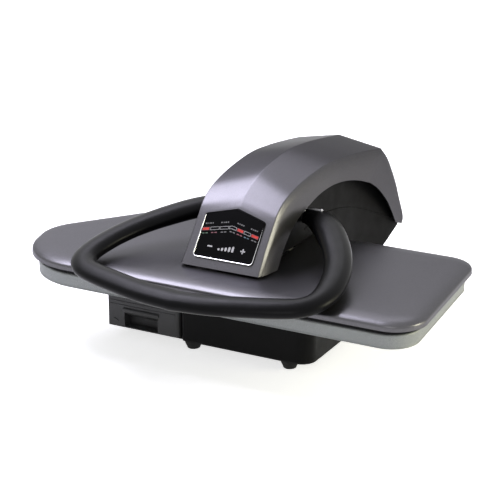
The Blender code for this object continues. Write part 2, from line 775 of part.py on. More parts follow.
SHELL_BOTTOM = PLATE_TOP + SEAT_GAP
BELOW = SHELL_BOTTOM - CUT_OVERRUN
deck_front = BASE_REAR_SETBACK - BASE_REAR_ROUND * 0.9
base_shell = plate("base_shell", base_plan(), SHELL_BOTTOM, BASE_TOP, BLACK_PLASTIC)
join(base_shell, plate("deck_outside", deck_plan(deck_front), SHELL_BOTTOM, DECK_TOP, BLACK_PLASTIC))
cut(base_shell, plate("base_inside", base_plan(BASE_WALL), BELOW, BASE_TOP - BASE_WALL, None))
cut(base_shell, plate("deck_inside", deck_plan(deck_front - BASE_WALL, BASE_WALL), BELOW,
                      DECK_TOP - BASE_WALL, None))
deck_opening = box(
    "deck_opening",
    (-CHEEK_OUTER - OPENING_MARGIN, AXLE_SETBACK - CHEEK_RADIUS - OPENING_MARGIN, DECK_TOP - BASE_WALL * 2),
    (CHEEK_OUTER + OPENING_MARGIN, AXLE_SETBACK + CHEEK_RADIUS + OPENING_MARGIN, DECK_TOP + CUT_OVERRUN), None,
)
cut(base_shell, deck_opening)
tank_nozzle_z = SHELL_BOTTOM + TANK_NOZZLE_HEIGHT
tank_nozzle_y = BASE_FRONT_SETBACK + TANK_BAY_DEPTH / 2
cut(base_shell, rod("dock_hole", (-BASE_FRONT_LEFT - BASE_WALL, tank_nozzle_y, tank_nozzle_z),
                    (-BASE_FRONT_LEFT + BASE_WALL * 2, tank_nozzle_y, tank_nozzle_z),
                    DOCK_RADIUS + SEAT_GAP, None))
switch_z = (SHELL_BOTTOM + DECK_TOP) / 2
switch_half_x = SWITCH_HALF_LENGTH + SWITCH_CLEARANCE
switch_half_z = SWITCH_HALF_HEIGHT + SWITCH_CLEARANCE
rear_wall = DECK_REAR_SETBACK
cut(base_shell, box("switch_hole", (SWITCH_SIDEWAYS - switch_half_x, rear_wall - BASE_WALL * 2,
                                    switch_z - switch_half_z),
                    (SWITCH_SIDEWAYS + switch_half_x, rear_wall + CUT_OVERRUN,
                     switch_z + switch_half_z), None))
gland_neck = GLAND_RADIUS * 0.7
cut(base_shell, rod("gland_hole", (-GLAND_SIDEWAYS, rear_wall - BASE_WALL * 2, switch_z),
                    (-GLAND_SIDEWAYS, rear_wall + CUT_OVERRUN, switch_z), gland_neck + SEAT_GAP, None))

bottom_plate = plate("bottom_plate", base_plan(SEAT_GAP), PLATE_BOTTOM, PLATE_TOP, DARK_STEEL)
join(bottom_plate, plate("deck_floor", deck_plan(deck_front, SEAT_GAP), PLATE_BOTTOM, PLATE_TOP, None))
shelf_right = -BASE_FRONT_LEFT + BASE_SMALL_ROUND * 2
join(bottom_plate, plate("tank_shelf", filleted([
    (-BASE_FRONT_LEFT - TANK_LENGTH, BASE_FRONT_SETBACK + BASE_SMALL_ROUND, BASE_SMALL_ROUND),
    (shelf_right, BASE_FRONT_SETBACK + BASE_SMALL_ROUND, 0.0),
    (shelf_right, BASE_FRONT_SETBACK + TANK_DEPTH, 0.0),
    (-BASE_FRONT_LEFT - TANK_LENGTH, BASE_FRONT_SETBACK + TANK_DEPTH, BASE_SMALL_ROUND),
]), PLATE_BOTTOM, PLATE_TOP, None))


def foot(name, x, y):
    profile = [(0.0, FOOT_HEIGHT), (FOOT_TOP_RADIUS, FOOT_HEIGHT), (FOOT_TOP_RADIUS, FOOT_HEIGHT * 0.55),
               (FOOT_TREAD_RADIUS, FOOT_HEIGHT * 0.1), (FOOT_TREAD_RADIUS, 0.0), (0.0, 0.0)]
    return turned(name, profile, (x, y, 0.0), (0, 0, 1), RUBBER, steps=14)


feet = [
    foot("foot_front_left", -FOOT_HALF_SPACING, FRONT_FOOT_SETBACK),
    foot("foot_front_right", FOOT_HALF_SPACING, FRONT_FOOT_SETBACK),
    foot("foot_rear_left", -FOOT_HALF_SPACING, REAR_FOOT_SETBACK),
    foot("foot_rear_right", FOOT_HALF_SPACING, REAR_FOOT_SETBACK),
]


# Hinge tower: steel bracket, moulded cover, axle, lift springs and the link's anchor pin
def tower_profile(distance, bottom):
    return filleted(inset([
        (AXLE_SETBACK - TOWER_FOOT_FRONT, bottom, 0.0),
        (AXLE_SETBACK + TOWER_FOOT_REAR, bottom, 0.0),
        (AXLE_SETBACK + TOWER_DOME_RADIUS, AXLE_HEIGHT + TOWER_DOME_RADIUS, TOWER_DOME_RADIUS),
        (AXLE_SETBACK - TOWER_DOME_RADIUS, AXLE_HEIGHT + TOWER_DOME_RADIUS, TOWER_DOME_RADIUS),
    ], distance))


TOWER_BOTTOM = DECK_TOP + SEAT_GAP
ANCHOR_Z = AXLE_HEIGHT + ANCHOR_RISE
hinge_tower = plate("hinge_tower", tower_profile(0.0, TOWER_BOTTOM), -TOWER_HALF_WIDTH, TOWER_HALF_WIDTH,
                    BLACK_PLASTIC, plane="YZ")
cut(hinge_tower, plate("tower_inside", tower_profile(TOWER_WALL, TOWER_BOTTOM - TOWER_WALL * 2),
                       -TOWER_HALF_WIDTH + TOWER_WALL, TOWER_HALF_WIDTH - TOWER_WALL, None, plane="YZ"))
cut(hinge_tower, box("tower_slot",
                     (-TOWER_SLOT_HALF_WIDTH, AXLE_SETBACK - TOWER_FOOT_FRONT * 1.2,
                      ANCHOR_Z - LINK_REAR_RADIUS - CUT_OVERRUN),
                     (TOWER_SLOT_HALF_WIDTH, AXLE_SETBACK + LINK_REAR_RADIUS + CUT_OVERRUN,
                      AXLE_HEIGHT + TOWER_DOME_RADIUS * 1.2), None))
cut(hinge_tower, cross_rod("tower_bore", AXLE_SETBACK, AXLE_HEIGHT, TOWER_HALF_WIDTH * 1.2,
                           AXLE_RADIUS + RUNNING_GAP, None))
bracket_bottom = PLATE_TOP + SEAT_GAP
cheek_outline = filleted([
    (AXLE_SETBACK - CHEEK_RADIUS, bracket_bottom + CHEEK_THICKNESS / 2, 0.0),
    (AXLE_SETBACK + CHEEK_RADIUS, bracket_bottom + CHEEK_THICKNESS / 2, 0.0),
    (AXLE_SETBACK + CHEEK_RADIUS, AXLE_HEIGHT + CHEEK_RADIUS, CHEEK_RADIUS),
    (AXLE_SETBACK - CHEEK_RADIUS, AXLE_HEIGHT + CHEEK_RADIUS, CHEEK_RADIUS),
])
cheek_holes = (circle_points(AXLE_SETBACK, AXLE_HEIGHT, AXLE_RADIUS + SEAT_GAP, DEFAULT_SIDES),
               circle_points(AXLE_SETBACK, ANCHOR_Z, ANCHOR_PIN_RADIUS + SEAT_GAP))
hinge_bracket = box("hinge_bracket",
                    (-BRACKET_HALF_WIDTH, AXLE_SETBACK - CHEEK_FOOT_HALF_DEPTH, bracket_bottom),
                    (BRACKET_HALF_WIDTH, AXLE_SETBACK + CHEEK_FOOT_HALF_DEPTH,
                     bracket_bottom + CHEEK_THICKNESS), STEEL)
for side in (-1, 1):
    ends = sorted((side * CHEEK_OUTER, side * (CHEEK_OUTER - CHEEK_THICKNESS)))
    join(hinge_bracket, plate("cheek", cheek_outline, ends[0], ends[1], None, plane="YZ", holes=cheek_holes))
hinge_axle = cross_rod("hinge_axle", AXLE_SETBACK, AXLE_HEIGHT, AXLE_HALF_LENGTH, AXLE_RADIUS, STEEL)
anchor_pin = cross_rod("anchor_pin", AXLE_SETBACK, ANCHOR_Z, CHEEK_OUTER, ANCHOR_PIN_RADIUS, STEEL,
                       sides=SMALL_SIDES)
bush_start = TOWER_HALF_WIDTH + RUNNING_GAP * 2
bush_end = ARM_OUTER + RUNNING_GAP * 3
axle_clips = [
    ring("axle_clip_" + word, (side * (bush_end + RUNNING_GAP), AXLE_SETBACK, AXLE_HEIGHT),
         (side * (bush_end + RUNNING_GAP + CLIP_THICKNESS), AXLE_SETBACK, AXLE_HEIGHT),
         CLIP_RADIUS, AXLE_RADIUS + SEAT_GAP, STEEL)
    for side, word in SIDES
]


def spring_points(start, end, side):
    coil = SPRING_OUTER_RADIUS - SPRING_WIRE_RADIUS
    turns = 3
    steps = 8
    points = []
    for k in range(turns * steps + 1):
        angle = math.pi / 2 + 2 * math.pi * k / steps
        share = k / (turns * steps)
        points.append((side * (start + (end - start) * share), AXLE_SETBACK + coil * math.cos(angle),
                       AXLE_HEIGHT + coil * math.sin(angle)))
    return points


lift_springs = [
    tube("lift_spring_" + word, spring_points(SPRING_INNER_END + SPRING_WIRE_RADIUS,
                                              SPRING_OUTER_END - SPRING_WIRE_RADIUS, side),
         SPRING_WIRE_RADIUS, DARK_STEEL, sides=6)
    for side, word in SIDES
]

# Inside the base: tank dock, pump, its hoses, the circuit board and the mains fittings
dock_x = -BASE_FRONT_LEFT - BASE_WALL
tank_dock = ring("tank_dock", (dock_x, tank_nozzle_y, tank_nozzle_z),
                 (dock_x + BASE_WALL * 3.5, tank_nozzle_y, tank_nozzle_z),
                 DOCK_RADIUS, TANK_NOZZLE_RADIUS + SEAT_GAP * 2, RUBBER)
dock_end = dock_x + BASE_WALL * 3.5
pump_start = dock_end + SEAT_GAP
pump_profile = [
    (0.0, PUMP_LENGTH), (PUMP_RADIUS, PUMP_LENGTH), (PUMP_RADIUS, PUMP_LENGTH * 0.42),
    (PUMP_RADIUS * 0.75, PUMP_LENGTH * 0.39), (PUMP_RADIUS * 0.75, PUMP_LENGTH * 0.2),
    (TANK_NOZZLE_RADIUS * 1.4, PUMP_LENGTH * 0.2), (TANK_NOZZLE_RADIUS * 1.4, 0.0), (0.0, 0.0),
]
water_pump = turned("water_pump", pump_profile, (pump_start, tank_nozzle_y, tank_nozzle_z), (1, 0, 0),
                    DARK_STEEL)
pump_out = pump_start + PUMP_LENGTH * 0.7
pump_back = tank_nozzle_y + PUMP_RADIUS + SEAT_GAP
pump_hose = tube("pump_hose", [
    (pump_out, pump_back, tank_nozzle_z),
    (pump_out, pump_back + PUMP_RADIUS, tank_nozzle_z),
    (pump_out + PUMP_RADIUS * 0.4, pump_back + PUMP_RADIUS * 1.8, tank_nozzle_z),
    (pump_out + PUMP_RADIUS, pump_back + PUMP_RADIUS * 2.4, tank_nozzle_z),
    (pump_out + PUMP_RADIUS * 1.6, BASE_REAR_SETBACK, tank_nozzle_z - PUMP_RADIUS * 0.3),
    (pump_out + PUMP_RADIUS * 1.8, AXLE_SETBACK - CHEEK_FOOT_HALF_DEPTH - PUMP_RADIUS * 0.5,
     tank_nozzle_z - PUMP_RADIUS * 0.4),
], HOSE_RADIUS, HOSE_CLEAR, sides=6)
board_low = SHELL_BOTTOM + BOARD_LIFT
board_x = BASE_HALF_WIDTH - BASE_WALL * 3 - BOARD_LENGTH
board_y = BASE_REAR_SETBACK - BASE_WALL * 4 - BOARD_DEPTH
board_margin = BOARD_DEPTH * 0.1
post_spots = [
    (board_x + a, board_y + b)
    for a in (board_margin, BOARD_LENGTH - board_margin)
    for b in (board_margin, BOARD_DEPTH - board_margin)
]
control_board = plate("control_board", [
    (board_x, board_y), (board_x + BOARD_LENGTH, board_y),
    (board_x + BOARD_LENGTH, board_y + BOARD_DEPTH), (board_x, board_y + BOARD_DEPTH),
], board_low, board_low + BOARD_THICKNESS, BOARD_GREEN)
for x, y in post_spots:
    join(bottom_plate, rod("board_post", (x, y, PLATE_TOP - BOTTOM_PLATE_THICKNESS / 2),
                           (x, y, board_low - SEAT_GAP), STANDOFF_RADIUS * 0.7, None, sides=6))
part_base = board_low + BOARD_THICKNESS / 2
join(control_board, box(
    "relay", (board_x + BOARD_LENGTH * 0.15, board_y + BOARD_DEPTH * 0.25, part_base),
    (board_x + BOARD_LENGTH * 0.38, board_y + BOARD_DEPTH * 0.6, part_base + BOARD_DEPTH * 0.25), None))
join(control_board, box(
    "transformer", (board_x + BOARD_LENGTH * 0.5, board_y + BOARD_DEPTH * 0.2, part_base),
    (board_x + BOARD_LENGTH * 0.85, board_y + BOARD_DEPTH * 0.7, part_base + BOARD_DEPTH * 0.4), None))
join(control_board, rod(
    "capacitor", (board_x + BOARD_LENGTH * 0.25, board_y + BOARD_DEPTH * 0.8, part_base),
    (board_x + BOARD_LENGTH * 0.25, board_y + BOARD_DEPTH * 0.8, part_base + BOARD_DEPTH * 0.35),
    BOARD_DEPTH * 0.09, None, sides=SMALL_SIDES))
cord_gland = turned("cord_gland", [
    (GLAND_RADIUS * 0.75, GLAND_LENGTH), (GLAND_RADIUS, GLAND_LENGTH * 0.2), (GLAND_RADIUS, SEAT_GAP),
    (gland_neck, SEAT_GAP), (gland_neck, -BASE_WALL * 1.6), (GLAND_RADIUS * 0.45, -BASE_WALL * 1.6),
    (GLAND_RADIUS * 0.45, GLAND_LENGTH),
], (-GLAND_SIDEWAYS, rear_wall, switch_z), (0, 1, 0), RUBBER, steps=16, closed=True)


def rectangle(x, z, half_x, half_z):
    return [(x - half_x, z - half_z), (x + half_x, z - half_z), (x + half_x, z + half_z), (x - half_x, z + half_z)]


switch_frame = plate("switch_frame",
                     rectangle(SWITCH_SIDEWAYS, switch_z, switch_half_x + SWITCH_FRAME_WIDTH,
                               switch_half_z + SWITCH_FRAME_WIDTH),
                     -rear_wall - SEAT_GAP - SWITCH_FRAME_THICKNESS, -rear_wall - SEAT_GAP, BLACK_PLASTIC,
                     plane="XZ", holes=(rectangle(SWITCH_SIDEWAYS, switch_z, switch_half_x, switch_half_z),))
rocker_pivot_y = rear_wall - SWITCH_HALF_HEIGHT * 0.3
rocker_shape = [
    (-SWITCH_HALF_LENGTH, -SWITCH_HALF_HEIGHT * 0.35), (SWITCH_HALF_LENGTH, -SWITCH_HALF_HEIGHT * 0.35),
    (SWITCH_HALF_LENGTH, SWITCH_HALF_HEIGHT * 0.62), (0.0, SWITCH_HALF_HEIGHT * 0.46),
    (-SWITCH_HALF_LENGTH, SWITCH_HALF_HEIGHT * 0.62),
]
rocker_turn = Matrix.Rotation(-SWITCH_TILT, 2)
rocker_outline = [tuple(rocker_turn @ Vector(point)) for point in rocker_shape]
power_rocker = plate("power_rocker",
                     [(SWITCH_SIDEWAYS + a, rocker_pivot_y + b) for a, b in rocker_outline],
                     switch_z - SWITCH_HALF_HEIGHT, switch_z + SWITCH_HALF_HEIGHT, BLACK_PLASTIC)
switch_back = rocker_pivot_y - SWITCH_HALF_HEIGHT * 0.35 - SWITCH_HALF_LENGTH * math.sin(SWITCH_TILT)
switch_body = box("switch_body",
                  (SWITCH_SIDEWAYS - switch_half_x, switch_back - SWITCH_CLEARANCE - SWITCH_HALF_LENGTH,
                   switch_z - switch_half_z),
                  (SWITCH_SIDEWAYS + switch_half_x, switch_back - SWITCH_CLEARANCE,
                   switch_z + switch_half_z), GLASS_BLACK)

# Water tank: front with a finger grip, open vessel, lid, nozzle and filler cap
tank_right = -BASE_FRONT_LEFT - TANK_GAP
tank_left = tank_right - TANK_LENGTH
tank_front = BASE_FRONT_SETBACK
tank_bottom = SHELL_BOTTOM
tank_top = tank_bottom + TANK_HEIGHT
fascia_back = tank_front + TANK_FASCIA_DEPTH
tank_fascia = plate("tank_fascia", filleted([
    (tank_left, tank_front, TANK_SMALL_ROUND), (tank_right, tank_front, TANK_ROUND),
    (tank_right, fascia_back, 0.0), (tank_left, fascia_back, 0.0),
]), tank_bottom, tank_top, TANK_GREY)
fascia_wall = TANK_WALL * 1.25
cut(tank_fascia, box("fascia_inside",
                     (tank_left + fascia_wall, tank_front + fascia_wall * 1.5, tank_bottom + fascia_wall),
                     (tank_right - fascia_wall, fascia_back + CUT_OVERRUN, tank_top - fascia_wall), None))
grip_left = tank_left + GRIP_LEFT_MARGIN
grip_bottom = tank_bottom + GRIP_BOTTOM_MARGIN
join(tank_fascia, box("grip_pocket",
                      (grip_left - fascia_wall, tank_front + fascia_wall,
                       tank_bottom + fascia_wall * 0.5),
                      (grip_left + GRIP_WIDTH + fascia_wall, tank_front + GRIP_DEPTH + fascia_wall,
                       grip_bottom + GRIP_HEIGHT + fascia_wall), None))
grip_outline = [
    (tank_front - CUT_OVERRUN, grip_bottom), (tank_front + GRIP_DEPTH, grip_bottom),
    (tank_front + GRIP_DEPTH, grip_bottom + GRIP_HEIGHT * 0.46),
    (tank_front - CUT_OVERRUN, grip_bottom + GRIP_HEIGHT * 1.06),
]
cut(tank_fascia, plate("grip_cut", grip_outline, grip_left, grip_left + GRIP_WIDTH, None, plane="YZ"))
arrow_middle = tank_left + GRIP_LEFT_MARGIN / 2
arrow_height = grip_bottom + GRIP_HEIGHT / 2
cut(tank_fascia, plate("arrow_cut", [
    (arrow_middle - ARROW_SIZE / 2, arrow_height), (arrow_middle + ARROW_SIZE / 2, arrow_height - ARROW_SIZE / 2),
    (arrow_middle + ARROW_SIZE / 2, arrow_height + ARROW_SIZE / 2),
], -tank_front - TANK_STEP_DEPTH, -tank_front + CUT_OVERRUN, None, plane="XZ"))
cut(tank_fascia, box("step_cut",
                     (tank_left - CUT_OVERRUN, tank_front - CUT_OVERRUN,
                      tank_bottom + TANK_STEP_HEIGHT),
                     (tank_right + CUT_OVERRUN, tank_front + TANK_STEP_DEPTH,
                      tank_bottom + TANK_STEP_HEIGHT + TANK_STEP_DEPTH), None))
vessel_left = tank_left + TANK_WALL * 1.5
vessel_right = tank_right - TANK_WALL * 1.5
vessel_front = fascia_back + SEAT_GAP
vessel_back = tank_front + TANK_DEPTH
vessel_top = tank_top - TANK_LID_THICKNESS - TANK_LID_DROP


def vessel_plan(distance=0.0):
    return filleted(inset([
        (vessel_left, vessel_front, TANK_SMALL_ROUND), (vessel_right, vessel_front, TANK_SMALL_ROUND),
        (vessel_right, vessel_back, TANK_ROUND), (vessel_left, vessel_back, TANK_ROUND),
    ], distance), steps=5)


tank_vessel = plate("tank_vessel", vessel_plan(), tank_bottom, vessel_top, SMOKE_PLASTIC)
cut(tank_vessel, plate("vessel_inside", vessel_plan(TANK_WALL), tank_bottom + TANK_WALL,
                       vessel_top + CUT_OVERRUN, None))
cap_y = (vessel_front + vessel_back) / 2
cap_z = tank_bottom + TANK_HEIGHT * 0.55
cap_neck = TANK_CAP_RADIUS * 0.75
cut(tank_vessel, rod("cap_hole", (vessel_left - CUT_OVERRUN, cap_y, cap_z),
                     (vessel_left + TANK_WALL * 2, cap_y, cap_z), cap_neck + SEAT_GAP, None))
cut(tank_vessel, rod("nozzle_hole", (vessel_right - TANK_WALL * 2, tank_nozzle_y, tank_nozzle_z),
                     (vessel_right + CUT_OVERRUN, tank_nozzle_y, tank_nozzle_z),
                     TANK_NOZZLE_RADIUS * 0.5, None, sides=SMALL_SIDES))
tank_lid = plate("tank_lid", vessel_plan(), vessel_top + SEAT_GAP, vessel_top + SEAT_GAP + TANK_LID_THICKNESS,
                 TANK_GREY)
tank_nozzle = ring("tank_nozzle", (vessel_right + SEAT_GAP, tank_nozzle_y, tank_nozzle_z),
                   (vessel_right + SEAT_GAP + TANK_NOZZLE_LENGTH, tank_nozzle_y, tank_nozzle_z),
                   TANK_NOZZLE_RADIUS, TANK_NOZZLE_RADIUS * 0.5, RUBBER, steps=16)
cap_face = vessel_left - SEAT_GAP
cap_flange = TANK_CAP_THICKNESS * 0.5
tank_cap = rod("tank_cap", (cap_face - cap_flange, cap_y, cap_z), (cap_face, cap_y, cap_z),
               TANK_CAP_RADIUS, BLACK_PLASTIC)
join(tank_cap, rod("cap_plug", (cap_face - cap_flange * 0.5, cap_y, cap_z),
                   (vessel_left + TANK_WALL * 2, cap_y, cap_z), cap_neck - SEAT_GAP, None))
join(tank_cap, box("cap_bar",
                   (cap_face - TANK_CAP_THICKNESS * 1.2, cap_y - TANK_CAP_RADIUS * 0.8,
                    cap_z - TANK_CAP_RADIUS * 0.16),
                   (cap_face - cap_flange * 0.5, cap_y + TANK_CAP_RADIUS * 0.8,
                    cap_z + TANK_CAP_RADIUS * 0.16), None))

# Heated shoe: cover, sole plate with its steam ports, heater, insulation and the mount to the arm
edge_outline = shoe_outline(SHOE_EDGE_ROUND * 6)


def shrunk(outline, share, height):
    middle = SHOE_DEPTH / 2
    return [(x * share, middle + (y - middle) * share, height) for x, y in outline]


shoe_rings = [
    level(shoe_outline(), SHOE_BOTTOM),
    level(shoe_outline(SHOE_EDGE_ROUND * 0.15), SHOE_BOTTOM + SHOE_SKIRT_HEIGHT * 0.60),
    level(shoe_outline(SHOE_EDGE_ROUND * 0.5), SHOE_BOTTOM + SHOE_SKIRT_HEIGHT * 0.82),
    level(shoe_outline(SHOE_EDGE_ROUND * 1.2), SHOE_BOTTOM + SHOE_SKIRT_HEIGHT * 0.94),
    level(shoe_outline(SHOE_EDGE_ROUND * 2.5), SHOE_EDGE_TOP),
    level(edge_outline, SHOE_EDGE_TOP + SHOE_CROWN * 0.6),
    shrunk(edge_outline, 0.7, SHOE_EDGE_TOP + SHOE_CROWN),
]
shoe_cover = thicken(skin("shoe_cover", shoe_rings, PEWTER, cap_last=True), SHOE_SHEET)
cut(shoe_cover, box("shoe_opening",
                    (-SHOE_OPENING_HALF_WIDTH, SHOE_OPENING_FRONT, SHOE_BOTTOM + SHOE_SHEET),
                    (SHOE_OPENING_HALF_WIDTH, SHOE_OPENING_REAR, SHOE_EDGE_TOP + SHOE_CROWN * 5), None))
steam_ports = []
for row in range(STEAM_PORT_ROWS):
    for column in range(STEAM_PORT_COLUMNS):
        share = 2 * column / (STEAM_PORT_COLUMNS - 1) - 1
        port_x = SHOE_LENGTH * (PORT_SPREAD_SHARE * share + PORT_STAGGER_SHARE * (row % 2))
        port_y = SHOE_DEPTH * (PORT_FRONT_SHARE + PORT_DEPTH_SHARE * row / (STEAM_PORT_ROWS - 1)
                               + PORT_BOW_SHARE * (share - PORT_BOW_MIDDLE_SHARE) ** 2)
        steam_ports.append(circle_points(port_x, port_y, STEAM_PORT_RADIUS, 6))
sole_plate = plate("sole_plate", shoe_outline(SOLE_INSET), SHOE_BOTTOM, SOLE_TOP, ALUMINIUM, holes=steam_ports)
heater_loop = [
    (x, y, SOLE_TOP + SEAT_GAP + HEATER_RADIUS) for x, y in shoe_outline(HEATER_INSET)
]
rear_right_end = next(i for i, point in enumerate(heater_loop) if point[1] > SHOE_DEPTH / 2) + CORNER_STEPS + 1
heater_line = heater_loop[rear_right_end:] + heater_loop[:rear_right_end]
heater_element = tube("heater_element", heater_line, HEATER_RADIUS, DARK_STEEL, sides=6)
hose_x = ARM_OUTER * 0.55
hose_y = MOUNT_CENTRE_SETBACK + MOUNT_FLANGE_DEPTH / 2 + HOSE_RADIUS * 2
hole_x = MOUNT_FLANGE_LENGTH / 2 + STANDOFF_RADIUS
hole_front = MOUNT_CENTRE_SETBACK - MOUNT_FLANGE_DEPTH / 2 - STANDOFF_RADIUS * 1.5
hole_rear = hose_y + HOSE_RADIUS * 3
insulation_hole = [(-hole_x, hole_front), (hole_x, hole_front), (hole_x, hole_rear), (-hole_x, hole_rear)]
insulation_low = SOLE_TOP + SEAT_GAP * 2 + HEATER_RADIUS * 2
insulation = plate("insulation", shoe_outline(SHOE_DEPTH * INSULATION_INSET_SHARE), insulation_low,
                   insulation_low + INSULATION_THICKNESS, WHITE_FELT, holes=(insulation_hole,))
for x, y in SOLE_BOSS_SHARES:
    join(sole_plate, rod("sole_boss", (x * SHOE_LENGTH / 2, y * SHOE_DEPTH, SOLE_TOP - SOLE_THICKNESS / 2),
                         (x * SHOE_LENGTH / 2, y * SHOE_DEPTH, SHOE_EDGE_TOP - SHOE_SHEET - SEAT_GAP),
                         STANDOFF_RADIUS, None, sides=SMALL_SIDES))
thermostat_x = MOUNT_FLANGE_LENGTH / 2 + THERMOSTAT_RADIUS * 3
thermostat = turned("thermostat", [
    (0.0, THERMOSTAT_HEIGHT), (THERMOSTAT_RADIUS * 0.8, THERMOSTAT_HEIGHT),
    (THERMOSTAT_RADIUS * 0.8, THERMOSTAT_HEIGHT * 0.4), (THERMOSTAT_RADIUS, THERMOSTAT_HEIGHT * 0.4),
    (THERMOSTAT_RADIUS, 0.0), (0.0, 0.0),
], (thermostat_x, MOUNT_CENTRE_SETBACK, SOLE_TOP + SEAT_GAP), (0, 0, 1), BRASS, steps=16)
fuse_x = -thermostat_x
fuse_z = SOLE_TOP + SEAT_GAP + HEATER_RADIUS
thermal_fuse = rod("thermal_fuse", (fuse_x - THERMOSTAT_RADIUS, MOUNT_CENTRE_SETBACK, fuse_z),
                   (fuse_x + THERMOSTAT_RADIUS, MOUNT_CENTRE_SETBACK, fuse_z), HEATER_RADIUS, WHITE_FELT,
                   sides=SMALL_SIDES)
mount_low = SOLE_TOP + SEAT_GAP
shoe_mount = box("shoe_mount",
                 (-MOUNT_FLANGE_LENGTH / 2, MOUNT_CENTRE_SETBACK - MOUNT_FLANGE_DEPTH / 2, mount_low),
                 (MOUNT_FLANGE_LENGTH / 2, MOUNT_CENTRE_SETBACK + MOUNT_FLANGE_DEPTH / 2,
                  mount_low + MOUNT_FLANGE_THICKNESS), ALUMINIUM)
join(shoe_mount, rod("mount_neck", (0.0, MOUNT_CENTRE_SETBACK, mount_low + MOUNT_FLANGE_THICKNESS / 2),
                     (0.0, MOUNT_CENTRE_SETBACK, ARM_BOTTOM - SEAT_GAP), MOUNT_NECK_RADIUS, None))

# Arch cover: sections across the arch, each from the left lower edge over the ridge to the right one
def arch_section(row):
    eave_y, eave_z, ridge_y, ridge_z, edge_y, edge_z, width, flare = row
    eave = Vector((ARCH_HALF_WIDTH * width, *arch_point(eave_y, eave_z)))
    ridge = Vector((0.0, *arch_point(ridge_y, ridge_z)))
    edge = Vector((ARCH_HALF_WIDTH * (width + flare), *arch_point(edge_y, edge_z)))
    to_edge = (edge - eave).normalized() * ARCH_EDGE_ROUND
    to_ridge = (ridge - eave).normalized() * ARCH_EDGE_ROUND
    half = [edge, eave + to_edge, eave + to_ridge, ridge - to_ridge]
    return [Vector((-p.x, p.y, p.z)) for p in half] + [p.copy() for p in reversed(half)]


arch_rows = [list(row) for row in ARCH_FACE_SHARES]
arch_rows += resampled([list(row) for row in ARCH_ROOF_SHARES], RINGS_ON_ROOF)[1:]
arch_rows += resampled([list(row) for row in ARCH_BACK_SHARES], RINGS_ON_BACK)[1:]
arch_cover = thicken(skin("arch_cover", [arch_section(row) for row in arch_rows], PEWTER,
                          closed_rings=False), ARCH_SHEET)

# Liner: a hollow under the arch, open below
liner_rows = resampled([list(row) for row in LINER_SHARES], RINGS_ON_LINER)
liner_round = LINER_HALF_WIDTH * 0.08
liner_rings = []
for top_y, top_z, low_y, low_z, width in liner_rows:
    top = arch_point(top_y, top_z)
    low = arch_point(low_y, low_z)
    drop = Vector((low[0] - top[0], low[1] - top[1]))
    shoulder = Vector(top) + drop.normalized() * min(liner_round, drop.length * 0.4)
    half_width = LINER_HALF_WIDTH * width
    half_ring = [
        Vector((half_width, *low)), Vector((half_width, *shoulder)), Vector((half_width - liner_round, *top)),
    ]
    liner_rings.append([Vector((-p.x, p.y, p.z)) for p in half_ring] + list(reversed(half_ring)))
arch_liner = thicken(skin("arch_liner", liner_rings, BLACK_PLASTIC, closed_rings=False), LINER_SHEET)
pivot = (HANDLE_PIVOT_SETBACK, HANDLE_PIVOT_HEIGHT)
cut(arch_liner, cross_rod("liner_bore", *pivot, LINER_HALF_WIDTH * 1.2,
                          HANDLE_SHAFT_RADIUS + RUNNING_GAP * 2, None))
arm_outline = filleted([
    (*arch_point(y, z), r * ARCH_DEPTH) for y, z, r in ARM_SHARES
], steps=4)
arm_holes = [circle_points(AXLE_SETBACK, AXLE_HEIGHT, BUSH_RADIUS + SEAT_GAP, DEFAULT_SIDES),
             circle_points(*pivot, HANDLE_SHAFT_RADIUS + RUNNING_GAP, DEFAULT_SIDES)]
arm_holes += [
    circle_points(*arch_point(y, z), ARM_SPACER_RADIUS + SEAT_GAP, DEFAULT_SIDES) for y, z in ARM_SPACER_SHARES
]
arm_plates = []
bushes = []
for side, word in SIDES:
    ends = sorted((side * ARM_OUTER, side * (ARM_OUTER - ARM_THICKNESS)))
    arm_plates.append(plate("arm_plate_" + word, arm_outline, ends[0], ends[1], STEEL, plane="YZ",
                            holes=arm_holes))
    bushes.append(ring("hinge_bush_" + word, (side * bush_start, AXLE_SETBACK, AXLE_HEIGHT),
                       (side * bush_end, AXLE_SETBACK, AXLE_HEIGHT), BUSH_RADIUS,
                       AXLE_RADIUS + RUNNING_GAP, BRASS))
between_arms = ARM_OUTER - ARM_THICKNESS - SEAT_GAP
arm_yoke = box("arm_yoke", (-between_arms, YOKE_FRONT, ARM_BOTTOM),
               (between_arms, YOKE_REAR, ARM_BOTTOM + YOKE_THICKNESS), STEEL)
spacer_reach = LINER_HALF_WIDTH - LINER_SHEET - SEAT_GAP
arm_spacers = [
    cross_rod("arm_spacer_" + word, *arch_point(y, z), spacer_reach, ARM_SPACER_RADIUS, STEEL)
    for word, (y, z) in zip(("front", "rear"), ARM_SPACER_SHARES)
]
for side, word in SIDES:
    for y, z, reach_share in COVER_STUD_SHARES:
        spot = arch_point(y, z)
        join(arch_liner, rod("cover_stud", (side * (LINER_HALF_WIDTH - LINER_SHEET / 2), *spot),
                             (side * ARCH_HALF_WIDTH * reach_share, *spot), STANDOFF_RADIUS, None,
                             sides=SMALL_SIDES))
